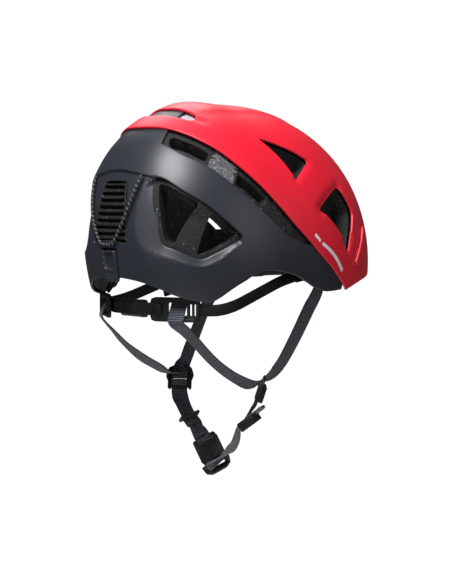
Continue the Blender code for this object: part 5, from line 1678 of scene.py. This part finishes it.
    def bands(self) -> None:
        """Make the ridged rear band, the arms, the headband and the hangers."""
        route = []
        for side, lengths in ((Side.RIGHT, (-8, -19)), (Side.LEFT, (-19, -8))):
            route += [Places3D.housing(side) @ (Vector((x, 0, -1.5)) * MM) for x in lengths]
            if side is Side.RIGHT:
                route += [point(-14, 99.5, -51), point(14, 99.5, -51)]
        settle(Band.upright("rear_band_finish", route, 11 * MM, 1.4 * MM, 2.0 * MM), Body.BAND, (BLACK,), "rear_band")
        for side in Side:
            for part, edge in (("side_arm", 0.3), ("hanger", 0.4), ("front_strap_anchor", 0.4)):
                self.plain(f"{side.prefix}_{part}", Body.HELMET, edge=edge * MM)
        self.plain("front_headband", Body.HELMET, edge=0.3 * MM)

    def build(self) -> None:
        """Make every fitting."""
        for side in Side:
            self.housings(side)
            self.dividers(side)
        self.buckle()
        self.keeper_and_adjuster()
        self.bands()


# ------------------------------------------------------------------ pads

@dataclass
class SoftPad:
    """A knit-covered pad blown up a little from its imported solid."""

    node: str
    body: Body
    voxel: float = 2.0 * MM
    shrink: float = 0.5 * MM
    cap: float = 1.2 * MM
    fill: float = 0.7

    def build(self) -> bpy.types.Object:
        """Make the pad."""
        piece = Bench.from_node(self.node, f"{self.node}_finish")
        Bench.alone(piece)
        bpy.ops.object.mode_set(mode="EDIT")
        bpy.ops.mesh.select_all(action="SELECT")
        bpy.ops.transform.shrink_fatten(value=-self.shrink)
        bpy.ops.object.mode_set(mode="OBJECT")
        Bench.modify(piece, "REMESH", mode="VOXEL", voxel_size=self.voxel)
        self.inflate(piece)
        Bench.modify(piece, "SUBSURF", levels=1, render_levels=1)
        Bench.alone(piece)
        bpy.ops.object.shade_smooth()
        settle(piece, self.body, (KNIT,), self.node)
        return piece

    def inflate(self, piece: bpy.types.Object) -> None:
        """Blow the pad up as cloth, capped so that it stays in its place."""
        start = [v.co.copy() for v in piece.data.vertices]
        cloth = piece.modifiers.new("cover", "CLOTH")
        cloth.settings.use_pressure = True
        cloth.settings.uniform_pressure_force = 4.0
        cloth.settings.quality = 4
        cloth.settings.effector_weights.gravity = 0.0
        scene = bpy.context.scene
        for number in range(1, 21):
            scene.frame_set(number)
        graph = bpy.context.evaluated_depsgraph_get()
        moved = [v.co.copy() for v in piece.evaluated_get(graph).data.vertices]
        piece.modifiers.remove(cloth)
        for vertex, old, new in zip(piece.data.vertices, start, moved):
            step = new - old
            vertex.co = old + step * min(1.0, self.cap / max(step.length, 1e-9))
        scene.frame_set(1)


# ------------------------------------------------------------------ the studio

@dataclass
class Studio:
    """The floor, the lights and the camera.

    Each lamp has a name, an azimuth, an elevation, a distance, a size and a power. The room's
    strength is given as the object's light sees it and as the camera sees it.
    """

    aim: tuple[float, float, float] = (0.0, 0.0, -0.05)
    azimuth: float = 229.5
    elevation: float = 4.0
    distance: float = 1.5
    lens: float = 101.6
    shift: tuple[float, float] = (0.0164, 0.0161)
    floor_height: float = -0.75
    lamps: tuple = (("key", 206.0, 54.0, 1.8, 0.9, 50.0), ("rear_fill", 196.0, 10.0, 2.4, 1.0, 4.0),
                    ("front_fill", 285.0, 12.0, 2.2, 1.2, 6.0), ("rim", 60.0, 50.0, 2.0, 1.2, 14.0))
    room_strength: tuple[float, float] = (0.068, 1.05)

    def direction(self, azimuth: float, elevation: float) -> Vector:
        """Return the direction from the object to a place round it."""
        a, e = math.radians(azimuth), math.radians(elevation)
        return Vector((math.sin(a) * math.cos(e), -math.cos(a) * math.cos(e), math.sin(e)))

    def camera(self) -> None:
        """Make the camera."""
        back = self.direction(self.azimuth, self.elevation)
        data = bpy.data.cameras.new("camera")
        camera = bpy.data.objects.new("camera", data)
        bpy.context.scene.collection.objects.link(camera)
        camera.location = Vector(self.aim) + back * self.distance
        camera.rotation_euler = back.to_track_quat("Z", "Y").to_euler()
        data.lens = self.lens
        data.sensor_width = 36.0
        data.shift_x, data.shift_y = self.shift
        data.clip_end = 100.0
        bpy.context.scene.camera = camera

    def lamp(self, name: str, azimuth: float, elevation: float, distance: float, size: float,
             power: float) -> None:
        """Hang a square soft light that faces the helmet."""
        back = self.direction(azimuth, elevation)
        data = bpy.data.lights.new(name, "AREA")
        data.size, data.energy = size, power
        lamp = bpy.data.objects.new(name, data)
        bpy.context.scene.collection.objects.link(lamp)
        lamp.location = Vector(self.aim) + back * distance
        lamp.rotation_euler = back.to_track_quat("Z", "Y").to_euler()

    def surroundings(self) -> None:
        """Make the pale floor and the white room, dimmer to the object than to the eye."""
        Bench.alone()
        bpy.ops.mesh.primitive_plane_add(size=1.8, location=(0, 0, self.floor_height))
        floor = bpy.context.active_object
        floor.name = "studio_floor"
        paint = Paint("pale_studio_floor")
        tone = paint.noise(3.0, 2.0)
        paint.set(Base_Color=paint.blend(tone, (0.86, 0.86, 0.86), (0.90, 0.90, 0.90)), Roughness=0.9)
        floor.data.materials.append(paint.material)
        world = bpy.data.worlds.new("studio")
        bpy.context.scene.world = world
        world.use_nodes = True
        tree = world.node_tree
        sky = tree.nodes["Background"]
        sky.inputs["Color"].default_value = (1.0, 1.0, 1.0, 1.0)
        ray = tree.nodes.new("ShaderNodeLightPath")
        strength = tree.nodes.new("ShaderNodeMapRange")
        for socket, value in zip(("To Min", "To Max"), self.room_strength):
            strength.inputs[socket].default_value = value
        tree.links.new(ray.outputs["Is Camera Ray"], strength.inputs["Value"])
        tree.links.new(strength.outputs[0], sky.inputs["Strength"])

    def build(self) -> None:
        """Set up the whole studio."""
        self.surroundings()
        for lamp in self.lamps:
            self.lamp(*lamp)
        self.camera()
        settings = bpy.context.scene.view_settings
        settings.view_transform = "Standard"
        settings.exposure = 0.0


def main() -> None:
    """Build the helmet's pieces in order."""
    logging.basicConfig(level=logging.INFO, format="%(name)s: %(message)s")
    FRAME.update(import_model())
    shell = UpperShell()
    shell.build()
    for side in Side:
        shell.stripe(side)
    LowerShell().build()
    FoamLiner().build()
    ShellFittings().build()
    Webbing().build()
    Hardware().build()
    for node, body in (("nape_pad", Body.BAND), ("brow_pad", Body.HELMET), ("crown_pad", Body.HELMET)):
        SoftPad(node, body).build()
    Studio().build()


if __name__ == "__main__":
    main()
